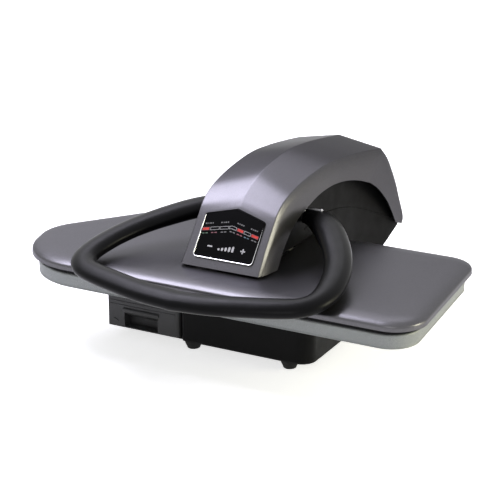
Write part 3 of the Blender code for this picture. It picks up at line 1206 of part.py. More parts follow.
steam_hose = tube("steam_hose", [
    (hose_x, hose_y, SOLE_TOP + SEAT_GAP),
    (hose_x, hose_y, ARM_BOTTOM - HOSE_RADIUS),
    (hose_x, hose_y + HOSE_RADIUS * 1.5, ARM_BOTTOM + HOSE_RADIUS),
    (hose_x, hose_y + HOSE_RADIUS * 4, ARM_BOTTOM + HOSE_RADIUS * 2),
    (hose_x, BASE_REAR_SETBACK, ARM_BOTTOM + HOSE_RADIUS * 2),
    (hose_x, BASE_REAR_SETBACK + HOSE_RADIUS * 12, ARM_BOTTOM),
    (hose_x, AXLE_SETBACK - TOWER_FOOT_FRONT * 1.4, AXLE_HEIGHT + TOWER_DOME_RADIUS * 1.7),
], HOSE_RADIUS, HOSE_CLEAR, sides=6)

# Control panel on the flat face
FACE_SLOPE = math.atan2(ARCH_FACE_SHARES[2][1] * ARCH_RISE, ARCH_FACE_SHARES[2][0] * ARCH_DEPTH)
FACE = Matrix.Translation((0.0, ARCH_FOOT_SETBACK, ARCH_FOOT)) @ Matrix.Rotation(FACE_SLOPE, 4, "X")


def panel_outline(distance):
    return filleted(inset([
        (-PANEL_HALF_WIDTH, PANEL_BOTTOM, PANEL_BOTTOM_ROUND),
        (PANEL_HALF_WIDTH, PANEL_BOTTOM, PANEL_BOTTOM_ROUND),
        (PANEL_HALF_WIDTH, PANEL_SHOULDER, PANEL_ROUND), (0.0, PANEL_APEX, 0.0),
        (-PANEL_HALF_WIDTH, PANEL_SHOULDER, PANEL_ROUND),
    ], distance), steps=4)


panel_frame = plate("panel_frame", panel_outline(0.0), SEAT_GAP, SEAT_GAP + PANEL_FRAME_HEIGHT, CHROME,
                    holes=(panel_outline(PANEL_FRAME_WIDTH),), turn=FACE)
panel_glass = plate("panel_glass", panel_outline(PANEL_FRAME_WIDTH + SEAT_GAP), SEAT_GAP,
                    SEAT_GAP + PANEL_GLASS_HEIGHT, GLASS_BLACK, turn=FACE)
glass_top = SEAT_GAP * 2 + PANEL_GLASS_HEIGHT


strip_end = PANEL_HALF_WIDTH - PANEL_FRAME_WIDTH * 2
indicator_strip = plate("indicator_strip", [
    (-strip_end, STRIP_END_RISE), (0.0, STRIP_MIDDLE_RISE), (strip_end, STRIP_END_RISE),
    (strip_end, STRIP_END_RISE + STRIP_HEIGHT), (0.0, STRIP_MIDDLE_RISE + STRIP_HEIGHT),
    (-strip_end, STRIP_END_RISE + STRIP_HEIGHT),
], glass_top, glass_top + STRIP_THICKNESS, DARK_WINDOW, turn=FACE)
panel_board_top = -ARCH_SHEET - SEAT_GAP * 2
panel_board = plate("panel_board", rectangle(0.0, (PANEL_BOTTOM + PANEL_SHOULDER) / 2, PANEL_HALF_WIDTH * 0.85,
                                             (PANEL_SHOULDER - PANEL_BOTTOM) * 0.4),
                    panel_board_top - PANEL_BOARD_THICKNESS, panel_board_top, BOARD_GREEN, turn=FACE)

# Handle: loop grip, shaft, collars and the crank that works the locking link
handle_line = [list(row) for row in HANDLE_SHARES]
half_line = smooth_line(handle_line, HANDLE_STEPS)
# The loop slopes so that its branches just clear the shoe's front edge
edge_crossing = (SHOE_EDGE_TOP + HANDLE_GRIP_RADIUS * HANDLE_FLATNESS * HANDLE_EDGE_SHARE
                 + HANDLE_EDGE_CLEARANCE)
handle_tilt = math.atan2(HANDLE_PIVOT_HEIGHT - edge_crossing, HANDLE_PIVOT_SETBACK)
slope_length = (HANDLE_PIVOT_SETBACK + HANDLE_FRONT_DEPTH) / math.cos(handle_tilt)
handle_points = [(-x, forward, thick) for x, forward, thick in half_line]
handle_points += [(x, forward, thick) for x, forward, thick in reversed(half_line[:-1])]
curve = bpy.data.curves.new("handle_grip", "CURVE")
curve.dimensions = "3D"
curve.bevel_depth = HANDLE_GRIP_RADIUS
curve.bevel_resolution = 3
curve.use_fill_caps = True
curve.twist_mode = "Z_UP"
spline = curve.splines.new("POLY")
spline.points.add(len(handle_points) - 1)
for point, (x, forward, thick) in zip(spline.points, handle_points):
    point.co = (x * HANDLE_HALF_WIDTH, -forward * slope_length, 0.0, 1.0)
    point.radius = thick
drawn = bpy.data.objects.new("handle_curve", curve)
PARTS.objects.link(drawn)
drawn.matrix_world = (Matrix.Translation((0.0, *pivot)) @ Matrix.Rotation(handle_tilt, 4, "X")
                      @ Matrix.Diagonal((1.0, 1.0, HANDLE_FLATNESS, 1.0)))
bpy.context.view_layer.update()
handle_grip = as_mesh(drawn, "handle_grip", HANDLE_BLACK)
inner_end = HANDLE_SHARES[0][0] * HANDLE_HALF_WIDTH
shaft_end = inner_end + HANDLE_SHAFT_DEPTH
for side in (-1, 1):
    cut(handle_grip, rod("grip_bore", (side * (inner_end - CUT_OVERRUN), *pivot),
                         (side * (shaft_end + SEAT_GAP), *pivot), HANDLE_SHAFT_RADIUS + SEAT_GAP, None))
handle_shaft = cross_rod("handle_shaft", *pivot, shaft_end, HANDLE_SHAFT_RADIUS, STEEL)
handle_collars = [
    ring("handle_collar_" + word, (side * (LINER_HALF_WIDTH + RUNNING_GAP * 2), *pivot),
         (side * (inner_end - SEAT_GAP), *pivot), COLLAR_RADIUS, HANDLE_SHAFT_RADIUS + SEAT_GAP, CHROME)
    for side, word in SIDES
]
crank_pin = (HANDLE_PIVOT_SETBACK, HANDLE_PIVOT_HEIGHT - CRANK_LENGTH)


def bar_outline(start, start_radius, end, end_radius, bend=None, steps=6):
    """A bar with round ends, seen from the side; with a bend it has a knee there."""
    start, end = Vector(start), Vector(end)
    knee = Vector(bend) if bend else (start + end) / 2
    first_way = (knee - start).normalized()
    last_way = (end - knee).normalized()
    middle_radius = (start_radius + end_radius) / 2
    across = (first_way + last_way).normalized()
    across = Vector((-across.y, across.x)) * middle_radius
    points = []
    for centre, radius, way, turn in ((end, end_radius, last_way, -math.pi / 2),
                                      (start, start_radius, first_way, math.pi / 2)):
        for k in range(steps + 1):
            angle = math.atan2(way.y, way.x) + turn + math.pi * k / steps
            points.append((centre.x + radius * math.cos(angle), centre.y + radius * math.sin(angle)))
        side = across if centre is end else -across
        if bend:
            points.append(tuple(knee + side))
    return points


crank_outline = bar_outline(pivot, CRANK_EYE_RADIUS, crank_pin, CRANK_EYE_RADIUS * 0.75)
crank_start = LINK_THICKNESS / 2 + RUNNING_GAP * 2
crank_end = crank_start + CRANK_THICKNESS
crank = cross_rod("crank", *crank_pin, crank_end + SEAT_GAP, CRANK_PIN_RADIUS, STEEL, sides=SMALL_SIDES)
for side, word in SIDES:
    join(crank, plate("crank_cheek", crank_outline, *sorted((side * crank_start, side * crank_end)), None,
                      plane="YZ",
                      holes=(circle_points(*pivot, HANDLE_SHAFT_RADIUS + SEAT_GAP, DEFAULT_SIDES),)))
anchor = (AXLE_SETBACK, ANCHOR_Z)
link_knee = (SHOE_DEPTH + LINK_KNEE_BEHIND, SHOE_EDGE_TOP + LINK_KNEE_RISE)
lock_link = plate("lock_link",
                  bar_outline(crank_pin, LINK_FRONT_RADIUS, anchor, LINK_REAR_RADIUS, link_knee),
                  -LINK_THICKNESS / 2, LINK_THICKNESS / 2, STEEL, plane="YZ",
                  holes=(circle_points(*crank_pin, CRANK_PIN_RADIUS + RUNNING_GAP),
                         circle_points(*anchor, ANCHOR_PIN_RADIUS + LINK_REAR_CLEARANCE, DEFAULT_SIDES)))



# Every piece hangs from the axis it moves about; the root puts the origin under the middle
def reach_along(thing, direction):
    ready = thing.evaluated_get(bpy.context.evaluated_depsgraph_get())
    places = [corner[direction] for corner in ready.bound_box]
    return min(places), max(places)


tapered_tip, square_end = reach_along(shoe_cover, 0)
front_edge = reach_along(handle_grip, 1)[0]
back_edge = reach_along(arch_cover, 1)[1]
root = axis_empty("press", (0.0, 0.0, 0.0))
root.location = (-(tapered_tip + square_end) / 2, -(front_edge + back_edge) / 2, 0.0)
axis_empty("hinge_axis", (0.0, AXLE_SETBACK, AXLE_HEIGHT), "press")
axis_empty("handle_axis", (0.0, *pivot), "hinge_axis")
axis_empty("link_axis", (0.0, *crank_pin), "handle_axis")
axis_empty("tank_slide", (tank_right, tank_front, tank_bottom), "press")
axis_empty("cap_axis", (cap_face, cap_y, cap_z), "tank_slide")
axis_empty("rocker_axis", (SWITCH_SIDEWAYS, rocker_pivot_y, switch_z), "press")
carried("press", board_tray, board_plate, board_pad, base_shell, bottom_plate, *feet,
        hinge_tower, hinge_bracket, hinge_axle, anchor_pin, *axle_clips, *lift_springs, tank_dock, water_pump,
        pump_hose, control_board, cord_gland, switch_frame, switch_body)
carried("rocker_axis", power_rocker)
carried("tank_slide", tank_fascia, tank_vessel, tank_lid, tank_nozzle)
carried("cap_axis", tank_cap)
carried("hinge_axis", shoe_cover, sole_plate, heater_element, insulation, thermostat,
        thermal_fuse, shoe_mount, arch_cover, arch_liner, *arm_plates, *bushes, arm_yoke,
        *arm_spacers, steam_hose, panel_frame, panel_glass, indicator_strip, panel_board)
carried("handle_axis", handle_grip, handle_shaft, *handle_collars, crank)
carried("link_axis", lock_link)
bpy.context.view_layer.update()
print("The press is built from", sum(thing.type == "MESH" for thing in PARTS.objects), "pieces")
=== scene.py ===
import math

import bmesh
import bpy
from mathutils import Matrix, Vector


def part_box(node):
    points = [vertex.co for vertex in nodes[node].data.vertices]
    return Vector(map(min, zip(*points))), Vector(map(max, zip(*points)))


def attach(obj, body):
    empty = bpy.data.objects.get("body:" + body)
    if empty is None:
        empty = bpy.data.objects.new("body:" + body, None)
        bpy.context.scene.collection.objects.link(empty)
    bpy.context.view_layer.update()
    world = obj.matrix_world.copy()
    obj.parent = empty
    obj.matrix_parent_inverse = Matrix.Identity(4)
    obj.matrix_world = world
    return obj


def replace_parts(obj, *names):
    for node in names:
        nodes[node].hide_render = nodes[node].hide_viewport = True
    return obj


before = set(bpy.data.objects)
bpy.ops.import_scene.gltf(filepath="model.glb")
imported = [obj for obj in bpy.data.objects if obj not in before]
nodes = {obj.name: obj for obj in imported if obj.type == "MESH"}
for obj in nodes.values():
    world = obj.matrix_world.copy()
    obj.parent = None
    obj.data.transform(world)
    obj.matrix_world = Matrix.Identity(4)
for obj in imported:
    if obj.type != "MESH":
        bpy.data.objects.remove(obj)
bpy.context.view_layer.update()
mm = 0.001
# Depths are measured back from the shoe's front edge, and every piece is drawn about the arch's middle
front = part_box("shoe_cover")[0].y
middleX = (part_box("arch_cover")[0].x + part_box("arch_cover")[1].x) / 2
print("frame loaded:", len(nodes), "solids")


# Lengths in metres from lengths in millimetres, alone or in tuples
def inMetres(value):
    return tuple(inMetres(part) for part in value) if isinstance(value, tuple) else value * mm


def lengths(**values):
    return {name: inMetres(value) for name, value in values.items()}


sharpBelow = 0.0003         # a corner with a smaller round stays sharp
reachLimit = 0.999          # the most of an edge that its two rounds may take
curveSteps = 24             # steps between rows while they are being spaced evenly
weldReach = 0.00002
doublesReach = 0.000005
onAxis = 1e-7
noiseLow, noiseHigh = 0.3, 0.7      # the part of a noise's range that is spread out
smudgeFiner = 4.3           # how much finer the smudges are than the clouds
bandsPerMetre = 3.2         # of a wave texture at scale 1
bothSides = (("Left", -1), ("Right", 1))


def linkObject(name, data):
    made = bpy.data.objects.new(name, data)
    bpy.context.scene.collection.objects.link(made)
    return made


def fromBmesh(name, work, finish, smoothAngle=35.0):
    mesh = bpy.data.meshes.new(name)
    bmesh.ops.translate(work, vec=(middleX, 0.0, 0.0), verts=work.verts)
    work.normal_update()
    work.to_mesh(mesh)
    work.free()
    made = linkObject(name, mesh)
    mesh.shade_smooth()
    mesh.set_sharp_from_angle(angle=math.radians(smoothAngle))
    mesh.materials.append(finishes[finish])
    return made


def addBevel(thing, width, angle=40.0, keepSharp=False, weight=80):
    edge = thing.modifiers.new("roundedEdges", "BEVEL")
    edge.width = width
    edge.segments = 2
    edge.limit_method = "ANGLE"
    edge.angle_limit = math.radians(angle)
    even = thing.modifiers.new("evenShading", "WEIGHTED_NORMAL")
    even.keep_sharp = keepSharp
    even.weight = weight


# Turns the faces of a closed piece outwards and puts it where turn says
def placePiece(name, work, finish, turn):
    bmesh.ops.recalc_face_normals(work, faces=work.faces)
    bmesh.ops.transform(work, matrix=turn, verts=work.verts)
    return fromBmesh(name, work, finish)


# Rounds a carried-over solid's edges with modifiers only; its own mesh stays as it is
def softenNode(name, width):
    weld = nodes[name].modifiers.new("welded", "WELD")
    weld.merge_threshold = weldReach
    addBevel(nodes[name], width, 35.0)


# Each corner (a, b, round) of a closed outline, with the one before and the one after it
def cornerRuns(corners):
    return zip([corners[-1], *corners[:-1]], corners, [*corners[1:], corners[0]])


# Points of a closed outline with its corners rounded
def filletOutline(corners, steps):
    points = []
    for previous, corner, following in cornerRuns(corners):
        here, radius = Vector(corner[:2]), corner[2]
        toBefore = Vector(previous[:2]) - here
        toAfter = Vector(following[:2]) - here
        if radius <= sharpBelow:
            points.append(tuple(here))
            continue
        wayBefore, wayAfter = toBefore.normalized(), toAfter.normalized()
        half = wayBefore.angle(wayAfter) / 2
        reach = min(radius / math.tan(half),
                    toBefore.length * radius / (radius + previous[2]) * reachLimit,
                    toAfter.length * radius / (radius + following[2]) * reachLimit)
        trueRadius = reach * math.tan(half)
        centre = here + (wayBefore + wayAfter).normalized() * (trueRadius / math.sin(half))
        first = here + wayBefore * reach - centre
        last = here + wayAfter * reach - centre
        sweep = first.angle_signed(last)
        for k in range(steps + 1):
            angle = -sweep * k / steps
            points.append((centre.x + first.x * math.cos(angle) - first.y * math.sin(angle),
                           centre.y + first.x * math.sin(angle) + first.y * math.cos(angle)))
    return points


def circle(radius, steps):
    turns = [2 * math.pi * k / steps for k in range(steps)]
    return [(radius * math.cos(turn), radius * math.sin(turn)) for turn in turns]


def atLevel(loop, height):
    return [(x, y, height) for x, y in loop]


# New vertices along a loop, all at one height
def vertexLoop(work, loop, height):
    return [work.verts.new(point) for point in atLevel(loop, height)]


def rectangle(left, right, low, high, soft):
    return [(left, low, soft), (right, low, soft), (right, high, soft), (left, high, soft)]


def insetCorners(corners, distance):
    moved = []
    for previous, corner, following in cornerRuns(corners):
        here = Vector(corner[:2])
        wayIn = (here - Vector(previous[:2])).normalized()
        wayOut = (Vector(following[:2]) - here).normalized()
        normalIn = Vector((-wayIn.y, wayIn.x))
        bisector = (normalIn + Vector((-wayOut.y, wayOut.x))).normalized()
        place = here + bisector * (distance / bisector.dot(normalIn))
        outer = wayIn.x * wayOut.y - wayIn.y * wayOut.x > 0
        moved.append((place.x, place.y, max(corner[2] + (-distance if outer else distance), 0.0)))
    return moved


# Faces between two loops of equally many vertices
def joinLoops(work, lower, upper, closed=True):
    count = len(lower)
    for i in range(count if closed else count - 1):
        j = (i + 1) % count
        work.faces.new((lower[i], lower[j], upper[j], upper[i]))


# Faces between rings of equally many points; returns the rows of vertices
def ringSkin(work, rings, closed=True):
    rows = [[work.verts.new(point) for point in ring] for ring in rings]
    for lower, upper in zip(rows[:-1], rows[1:]):
        joinLoops(work, lower, upper, closed)
    return rows


# Fills a flat area between loops of vertices
def fillBetween(work, outer, holes=()):
    edges = []
    for loop in (outer, *holes):
        for i in range(len(loop)):
            pair = (loop[i], loop[(i + 1) % len(loop)])
            edges.append(work.edges.get(pair) or work.edges.new(pair))
    bmesh.ops.triangle_fill(work, use_beauty=True, use_dissolve=False, edges=edges)


# Turns a skin's faces outwards and gives it the thickness of its sheet, inwards
def sheetFrom(name, work, finish, smoothAngle, thickness):
    bmesh.ops.recalc_face_normals(work, faces=work.faces)
    if sum(face.normal.z * face.calc_area() for face in work.faces) < 0:
        bmesh.ops.reverse_faces(work, faces=work.faces)
    made = fromBmesh(name, work, finish, smoothAngle)
    wall = made.modifiers.new("sheet", "SOLIDIFY")
    wall.thickness = thickness
    wall.offset = -1.0
    return made


# Rows of numbers joined by a smooth curve through each of them
def smoothRows(rows, steps):
    padded = [rows[0], *rows, rows[-1]]
    line = []
    for i in range(1, len(padded) - 2):
        a, b, c, d = padded[i - 1:i + 3]
        for k in range(steps):
            t = k / steps
            line.append([0.5 * (2 * q + (r - p) * t + (2 * p - 5 * q + 4 * r - s) * t * t
                                + (3 * q - p - 3 * r + s) * t ** 3)
                         for p, q, r, s in zip(a, b, c, d)])
    line.append(list(rows[-1]))
    return line


# Rows along the smooth curve, as many as count and evenly spaced in their first two numbers
def evenRows(rows, count):
    fine = smoothRows(rows, curveSteps)
    lengths = [0.0]
    for before, after in zip(fine[:-1], fine[1:]):
        lengths.append(lengths[-1] + math.dist(before[:2], after[:2]))
    picked = []
    i = 0
    for k in range(count):
        wanted = lengths[-1] * k / (count - 1)
        while i < len(lengths) - 2 and lengths[i + 1] < wanted:
            i += 1
        share = min((wanted - lengths[i]) / (lengths[i + 1] - lengths[i]), 1.0)
        picked.append([a + (b - a) * share for a, b in zip(fine[i], fine[i + 1])])
    return picked


# A flat outline given thickness from low to high, with holes, placed by turn
def slab(name, outline, low, high, finish, turn, bevel=0.0, holes=()):
    work = bmesh.new()
    levels = []
    for height in (low, high):
        loops = [vertexLoop(work, loop, height) for loop in (outline, *holes)]
        fillBetween(work, loops[0], loops[1:])
        levels.append(loops)
    for lowLoop, highLoop in zip(*levels):
        joinLoops(work, lowLoop, highLoop)
    made = placePiece(name, work, finish, turn)
    if bevel:
        addBevel(made, bevel)
    return made


# A round bar along points, each with its share of the radius; flat squeezes its height
def tubeAlong(name, points, radius, finish, sides=10, flat=1.0):
    curve = bpy.data.curves.new(name + "Line", "CURVE")
    curve.dimensions = "3D"
    curve.bevel_depth = radius
    curve.bevel_resolution = max(sides // 2 - 2, 1)
    curve.use_fill_caps = True
    curve.twist_mode = "Z_UP"
    spline = curve.splines.new("POLY")
    spline.points.add(len(points) - 1)
    for point, place in zip(spline.points, points):
        point.co = (place[0], place[1], place[2], 1.0)
        point.radius = place[3] if len(place) > 3 else 1.0
    drawn = linkObject(name + "Line", curve)
    drawn.scale = (1.0, 1.0, flat)
    bpy.context.view_layer.update()
    mesh = bpy.data.meshes.new_from_object(drawn.evaluated_get(bpy.context.evaluated_depsgraph_get()))
    place = drawn.matrix_world.copy()
    bpy.data.objects.remove(drawn, do_unlink=True)
    work = bmesh.new()
    work.from_mesh(mesh)
    bmesh.ops.remove_doubles(work, verts=work.verts, dist=doublesReach)
    bpy.data.meshes.remove(mesh)
    return placePiece(name, work, finish, place)


# A straight bar across the object; its ends taper and lie at the first of the two depths
def taperedBar(name, span, depths, height, end, taper, radius, finish, sides):
    left, right = span
    endDepth, middleDepth = depths
    points = [(left, endDepth, height, taper), (left + end, middleDepth, height, 1.0),
              (right - end, middleDepth, height, 1.0), (right, endDepth, height, taper)]
    return tubeAlong(name, points, radius, finish, sides)


# A profile of (radius, height) turned about an axis through place
def lathe(name, profile, place, axis, finish, steps):
    work = bmesh.new()
    turn = Vector(axis).to_track_quat("Z", "Y").to_matrix().to_4x4()
    rows = []
    for radius, height in profile:
        rows.append(vertexLoop(work, [(0.0, 0.0)] if radius < onAxis else circle(radius, steps), height))
    for lower, upper in zip(rows[:-1], rows[1:]):
        for k in range(steps):      # a row on the axis is one vertex, so its faces have three corners
            j = (k + 1) % steps
            corners = dict.fromkeys((lower[k % len(lower)], lower[j % len(lower)],
                                     upper[j % len(upper)], upper[k % len(upper)]))
            if len(corners) > 2:
                work.faces.new(corners)
    return placePiece(name, work, finish, Matrix.Translation(place) @ turn)


finishes = {}


def newFinish(name):
    made = bpy.data.materials.new(name)
    made.use_nodes = True
    finishes[name] = made
    return made.node_tree, made.node_tree.nodes["Principled BSDF"]


# Sets a node's sockets: a value goes in as it is, and another node's output is linked
def feed(node, sockets):
    for socket, value in sockets.items():
        if isinstance(value, bpy.types.NodeSocket):
            node.id_data.links.new(value, node.inputs[socket])
        else:
            node.inputs[socket].default_value = value
    return node


def addNode(tree, kind, sockets, **settings):
    made = tree.nodes.new("ShaderNode" + kind)
    for setting, value in settings.items():
        setattr(made, setting, value)
    return feed(made, sockets)


def objectPlace(tree):
    return addNode(tree, "TexCoord", {}).outputs["Object"]


def noiseNode(tree, scale, detail, stretch=None):
    place = objectPlace(tree)
    if stretch:
        place = addNode(tree, "Mapping", {"Scale": stretch, "Vector": place}).outputs["Vector"]
    return addNode(tree, "TexNoise", {"Scale": scale, "Detail": detail, "Vector": place}).outputs["Fac"]


def rampNode(tree, source, stops):
    ramp = addNode(tree, "ValToRGB", {"Fac": source})
    while len(ramp.color_ramp.elements) < len(stops):
        ramp.color_ramp.elements.new(0.5)
    for element, (place, color) in zip(ramp.color_ramp.elements, stops):
        element.position = place
        element.color = (*color, 1.0)
    return ramp.outputs["Color"]


def twoTone(tree, source, low, high):
    return rampNode(tree, source, [(noiseLow, low), (noiseHigh, high)])


def rangeNode(tree, source, low, high):
    return addNode(tree, "MapRange", {"From Min": noiseLow, "From Max": noiseHigh, "To Min": low, "To Max": high,
                                      "Value": source}).outputs["Result"]


def bumpNode(tree, source, depth):
    return addNode(tree, "Bump", {"Distance": depth, "Height": source}).outputs["Normal"]


def multiplyColors(tree, first, second):
    return addNode(tree, "Mix", {"Factor": 1.0, "A": first, "B": second}, data_type="RGBA",
                   blend_type="MULTIPLY").outputs["Result"]


def shade(color, factor):
    return tuple(min(c * factor, 1.0) for c in color)


# Paint, plastic or metal: slow clouds in the colour, a varying gloss and a fine surface grain
def grainFinish(name, color, roughness, metallic, grain, grainDepth, cloud, cloudSpread, roughSpread,
                specular=0.5, stretch=None, sockets=None):
    tree, shader = newFinish(name)
    clouds = noiseNode(tree, cloud, 3.0, stretch)
    smudge = noiseNode(tree, cloud * smudgeFiner, 4.0, stretch)
    feed(shader, {
        "Metallic": metallic, "Specular IOR Level": specular, **(sockets or {}),
        "Base Color": twoTone(tree, clouds, shade(color, 1 - cloudSpread), shade(color, 1 + cloudSpread)),
        "Roughness": rangeNode(tree, smudge, roughness - roughSpread, roughness + roughSpread),
        "Normal": bumpNode(tree, noiseNode(tree, grain, 2.0, stretch), grainDepth)})


paint = {
    "flakeScale": 2600.0, "flakeSpread": 0.22, "flakeDepth": 0.000004,
    "cloudScale": 5.0, "rubScale": 30.0, "rubStretch": (1.0, 0.35, 1.0), "rubSmoother": 0.012, "rubDuller": 0.02,
}


# Sprayed metallic paint: fine bright flakes, slow clouds and faint rub marks
def pewterFinish(name, color, roughness, metallic, edgeDull):
    tree, shader = newFinish(name)
    flakes = noiseNode(tree, paint["flakeScale"], 1.0)
    spread = paint["flakeSpread"]
    flakeTint = rampNode(tree, flakes, [(0.36, shade(color, 1 - spread)), (0.52, color),
                                        (0.72, shade(color, 1 + 2 * spread))])
    clouds = noiseNode(tree, paint["cloudScale"], 2.0)
    rub = noiseNode(tree, paint["rubScale"], 4.0, paint["rubStretch"])
    feed(shader, {
        "Metallic": metallic, "Specular IOR Level": 0.3, "Specular Tint": (*edgeDull, 1.0),
        "Base Color": multiplyColors(tree, flakeTint, twoTone(tree, clouds, (0.95, 0.95, 0.955), (1.0, 1.0, 1.0))),
        "Roughness": rangeNode(tree, rub, roughness - paint["rubSmoother"],
                               roughness + paint["rubDuller"]),
        "Normal": bumpNode(tree, flakes, paint["flakeDepth"])})


# A plain weave of warp and weft over a padded board
def clothFinish(name, color, pitch):
    tree, shader = newFinish(name)
    place = objectPlace(tree)
    warp, weft = (addNode(tree, "TexWave", {
        "Scale": 1.0 / pitch / bandsPerMetre, "Distortion": 0.6, "Detail": 1.0, "Detail Scale": 0.4,
        "Vector": place,
    }, wave_type="BANDS", bands_direction=direction).outputs["Fac"] for direction in ("X", "Y"))
    threads = addNode(tree, "Math", {0: warp, 1: weft}, operation="MULTIPLY").outputs["Value"]
    threadTint = rampNode(tree, threads, [(0.0, shade(color, 0.55)), (0.5, color), (1.0, shade(color, 1.5))])
    stainTint = twoTone(tree, noiseNode(tree, 14.0, 4.0), (0.82, 0.82, 0.82), (1.0, 1.0, 1.0))
    feed(shader, {
        "Roughness": 0.92, "Sheen Weight": 0.04, "Sheen Roughness": 0.5, "Specular IOR Level": 0.1,
        "Base Color": multiplyColors(tree, threadTint, stainTint), "Normal": bumpNode(tree, threads, 0.00025)})


# Zinc-plated sheet with its faint crystals
def spangleFinish(name, color, roughness):
    tree, shader = newFinish(name)
    cells = addNode(tree, "TexVoronoi", {"Scale": 160.0, "Vector": objectPlace(tree)}).outputs["Color"]
    feed(shader, {
        "Metallic": 1.0,
        "Base Color": rampNode(tree, cells, [(0.2, shade(color, 0.88)), (0.8, shade(color, 1.1))]),
        "Roughness": rangeNode(tree, noiseNode(tree, 60.0, 4.0), roughness - 0.08, roughness + 0.08),
        "Normal": bumpNode(tree, noiseNode(tree, 400.0, 2.0, (0.08, 1.0, 1.0)), 0.00002)})


# Green circuit board with lighter tracks
def boardFinish(name, color):
    tree, shader = newFinish(name)
    tracks = addNode(tree, "TexBrick", {
        "Scale": 90.0, "Mortar Size": 0.03, "Color1": (*color, 1.0), "Color2": (*shade(color, 0.8), 1.0),
        "Mortar": (*shade(color, 2.2), 1.0), "Vector": objectPlace(tree)}).outputs
    feed(shader, {"Roughness": 0.4, "Base Color": tracks["Color"],
                  "Normal": bumpNode(tree, tracks["Fac"], 0.00005)})


# A lit window behind tinted glass
def glowFinish(name, color, glow):
    tree, shader = newFinish(name)
    tint = twoTone(tree, noiseNode(tree, 420.0, 2.0), shade(color, 0.7), shade(color, 1.15))
    feed(shader, {"Roughness": 0.25, "Specular IOR Level": 0.4, "Emission Strength": glow,
                  "Base Color": tint, "Emission Color": tint})


# colour, roughness, metallic, and the tint that holds grazing views back
paints = {
    "pewterPaint": ((0.104, 0.102, 0.110), 0.30, 0.88, (0.33, 0.33, 0.33)),
    "shoePaint": ((0.112, 0.110, 0.118), 0.30, 0.88, (0.6, 0.6, 0.62)),
    "trayPaint": ((0.285, 0.300, 0.296), 0.46, 0.30, (0.33, 0.33, 0.33)),
}
for lookName, look in paints.items():
    pewterFinish(lookName, *look)

# colour, roughness, metallic, grain's scale and depth, clouds' scale and spread, spread of the roughness,
# then specular level, stretch and other sockets where they aren't the usual ones
grainLooks = {
    "blackPlastic": ((0.0036, 0.0036, 0.0038), 0.48, 0.0, 1500.0, 0.00004, 12.0, 0.15, 0.05, 0.08),
    "innerPlastic": ((0.0045, 0.0045, 0.0047), 0.55, 0.0, 1200.0, 0.00005, 12.0, 0.15, 0.05, 0.03),
    "gripBlack": ((0.0032, 0.0032, 0.0038), 0.31, 0.0, 2200.0, 0.00001, 16.0, 0.12, 0.03, 0.085),
    "tankPlastic": ((0.046, 0.046, 0.047), 0.42, 0.0, 1300.0, 0.00004, 14.0, 0.14, 0.05, 0.35),
    "smokePlastic": ((0.055, 0.062, 0.070), 0.16, 0.0, 700.0, 0.00002, 14.0, 0.10, 0.05, 0.5, None,
                     {"Transmission Weight": 0.55, "IOR": 1.49}),
    "blackRubber": ((0.012, 0.012, 0.012), 0.78, 0.0, 900.0, 0.00010, 30.0, 0.30, 0.08, 0.3),
    "brightTrim": ((0.86, 0.86, 0.88), 0.10, 1.0, 900.0, 0.000004, 30.0, 0.04, 0.04),
    "darkSteel": ((0.10, 0.10, 0.11), 0.42, 0.9, 800.0, 0.00003, 20.0, 0.16, 0.08),
    "blackSteel": ((0.0075, 0.0075, 0.0080), 0.55, 0.0, 1100.0, 0.00006, 20.0, 0.2, 0.06, 0.15),
    "castAluminium": ((0.50, 0.50, 0.51), 0.40, 1.0, 700.0, 0.00006, 24.0, 0.08, 0.08),
    "soleMetal": ((0.40, 0.395, 0.39), 0.34, 1.0, 500.0, 0.00002, 30.0, 0.07, 0.07, 0.5, (0.1, 1.0, 1.0)),
    "bushBronze": ((0.50, 0.33, 0.12), 0.38, 1.0, 800.0, 0.00003, 30.0, 0.12, 0.08),
    "insulationFelt": ((0.66, 0.65, 0.60), 0.95, 0.0, 600.0, 0.00030, 40.0, 0.12, 0.03),
    "hoseSilicone": ((0.50, 0.47, 0.42), 0.45, 0.0, 500.0, 0.00002, 30.0, 0.08, 0.05),
    "panelBlack": ((0.0040, 0.0040, 0.0048), 0.14, 0.0, 300.0, 0.000003, 20.0, 0.2, 0.04, 0.05),
    "windowDark": ((0.006, 0.006, 0.007), 0.20, 0.0, 400.0, 0.000004, 30.0, 0.2, 0.04, 0.09),
    "printWhite": ((0.62, 0.62, 0.62), 0.45, 0.0, 900.0, 0.000005, 90.0, 0.10, 0.04),
}
for lookName, look in grainLooks.items():
    grainFinish(lookName, *look)
printTints = {"printGrey": (0.20, 0.20, 0.20), "printGreen": (0.11, 0.20, 0.13),
              "printRose": (0.28, 0.10, 0.12), "printBlue": (0.10, 0.20, 0.25)}
for printName, printColor in printTints.items():
    grainFinish(printName, printColor, 0.5, 0.0, 900.0, 0.000005, 90.0, 0.15, 0.04)
spangleFinish("zincSteel", (0.52, 0.52, 0.54), 0.36)
boardFinish("circuitGreen", (0.02, 0.14, 0.06))
clothFinish("padCloth", (0.050, 0.050, 0.054), 0.0009)
# The binding's near-black cloth also paints the shade in the gap between the shoe and the tray
clothFinish("paintedShadeBinding", (0.010, 0.010, 0.011), 0.0006)
glowFinish("litRed", (0.50, 0.030, 0.022), 0.55)

# The solids whose names begin with one of the words
def startingWith(words):
    return [name for name in nodes if name.startswith(tuple(words.split()))]


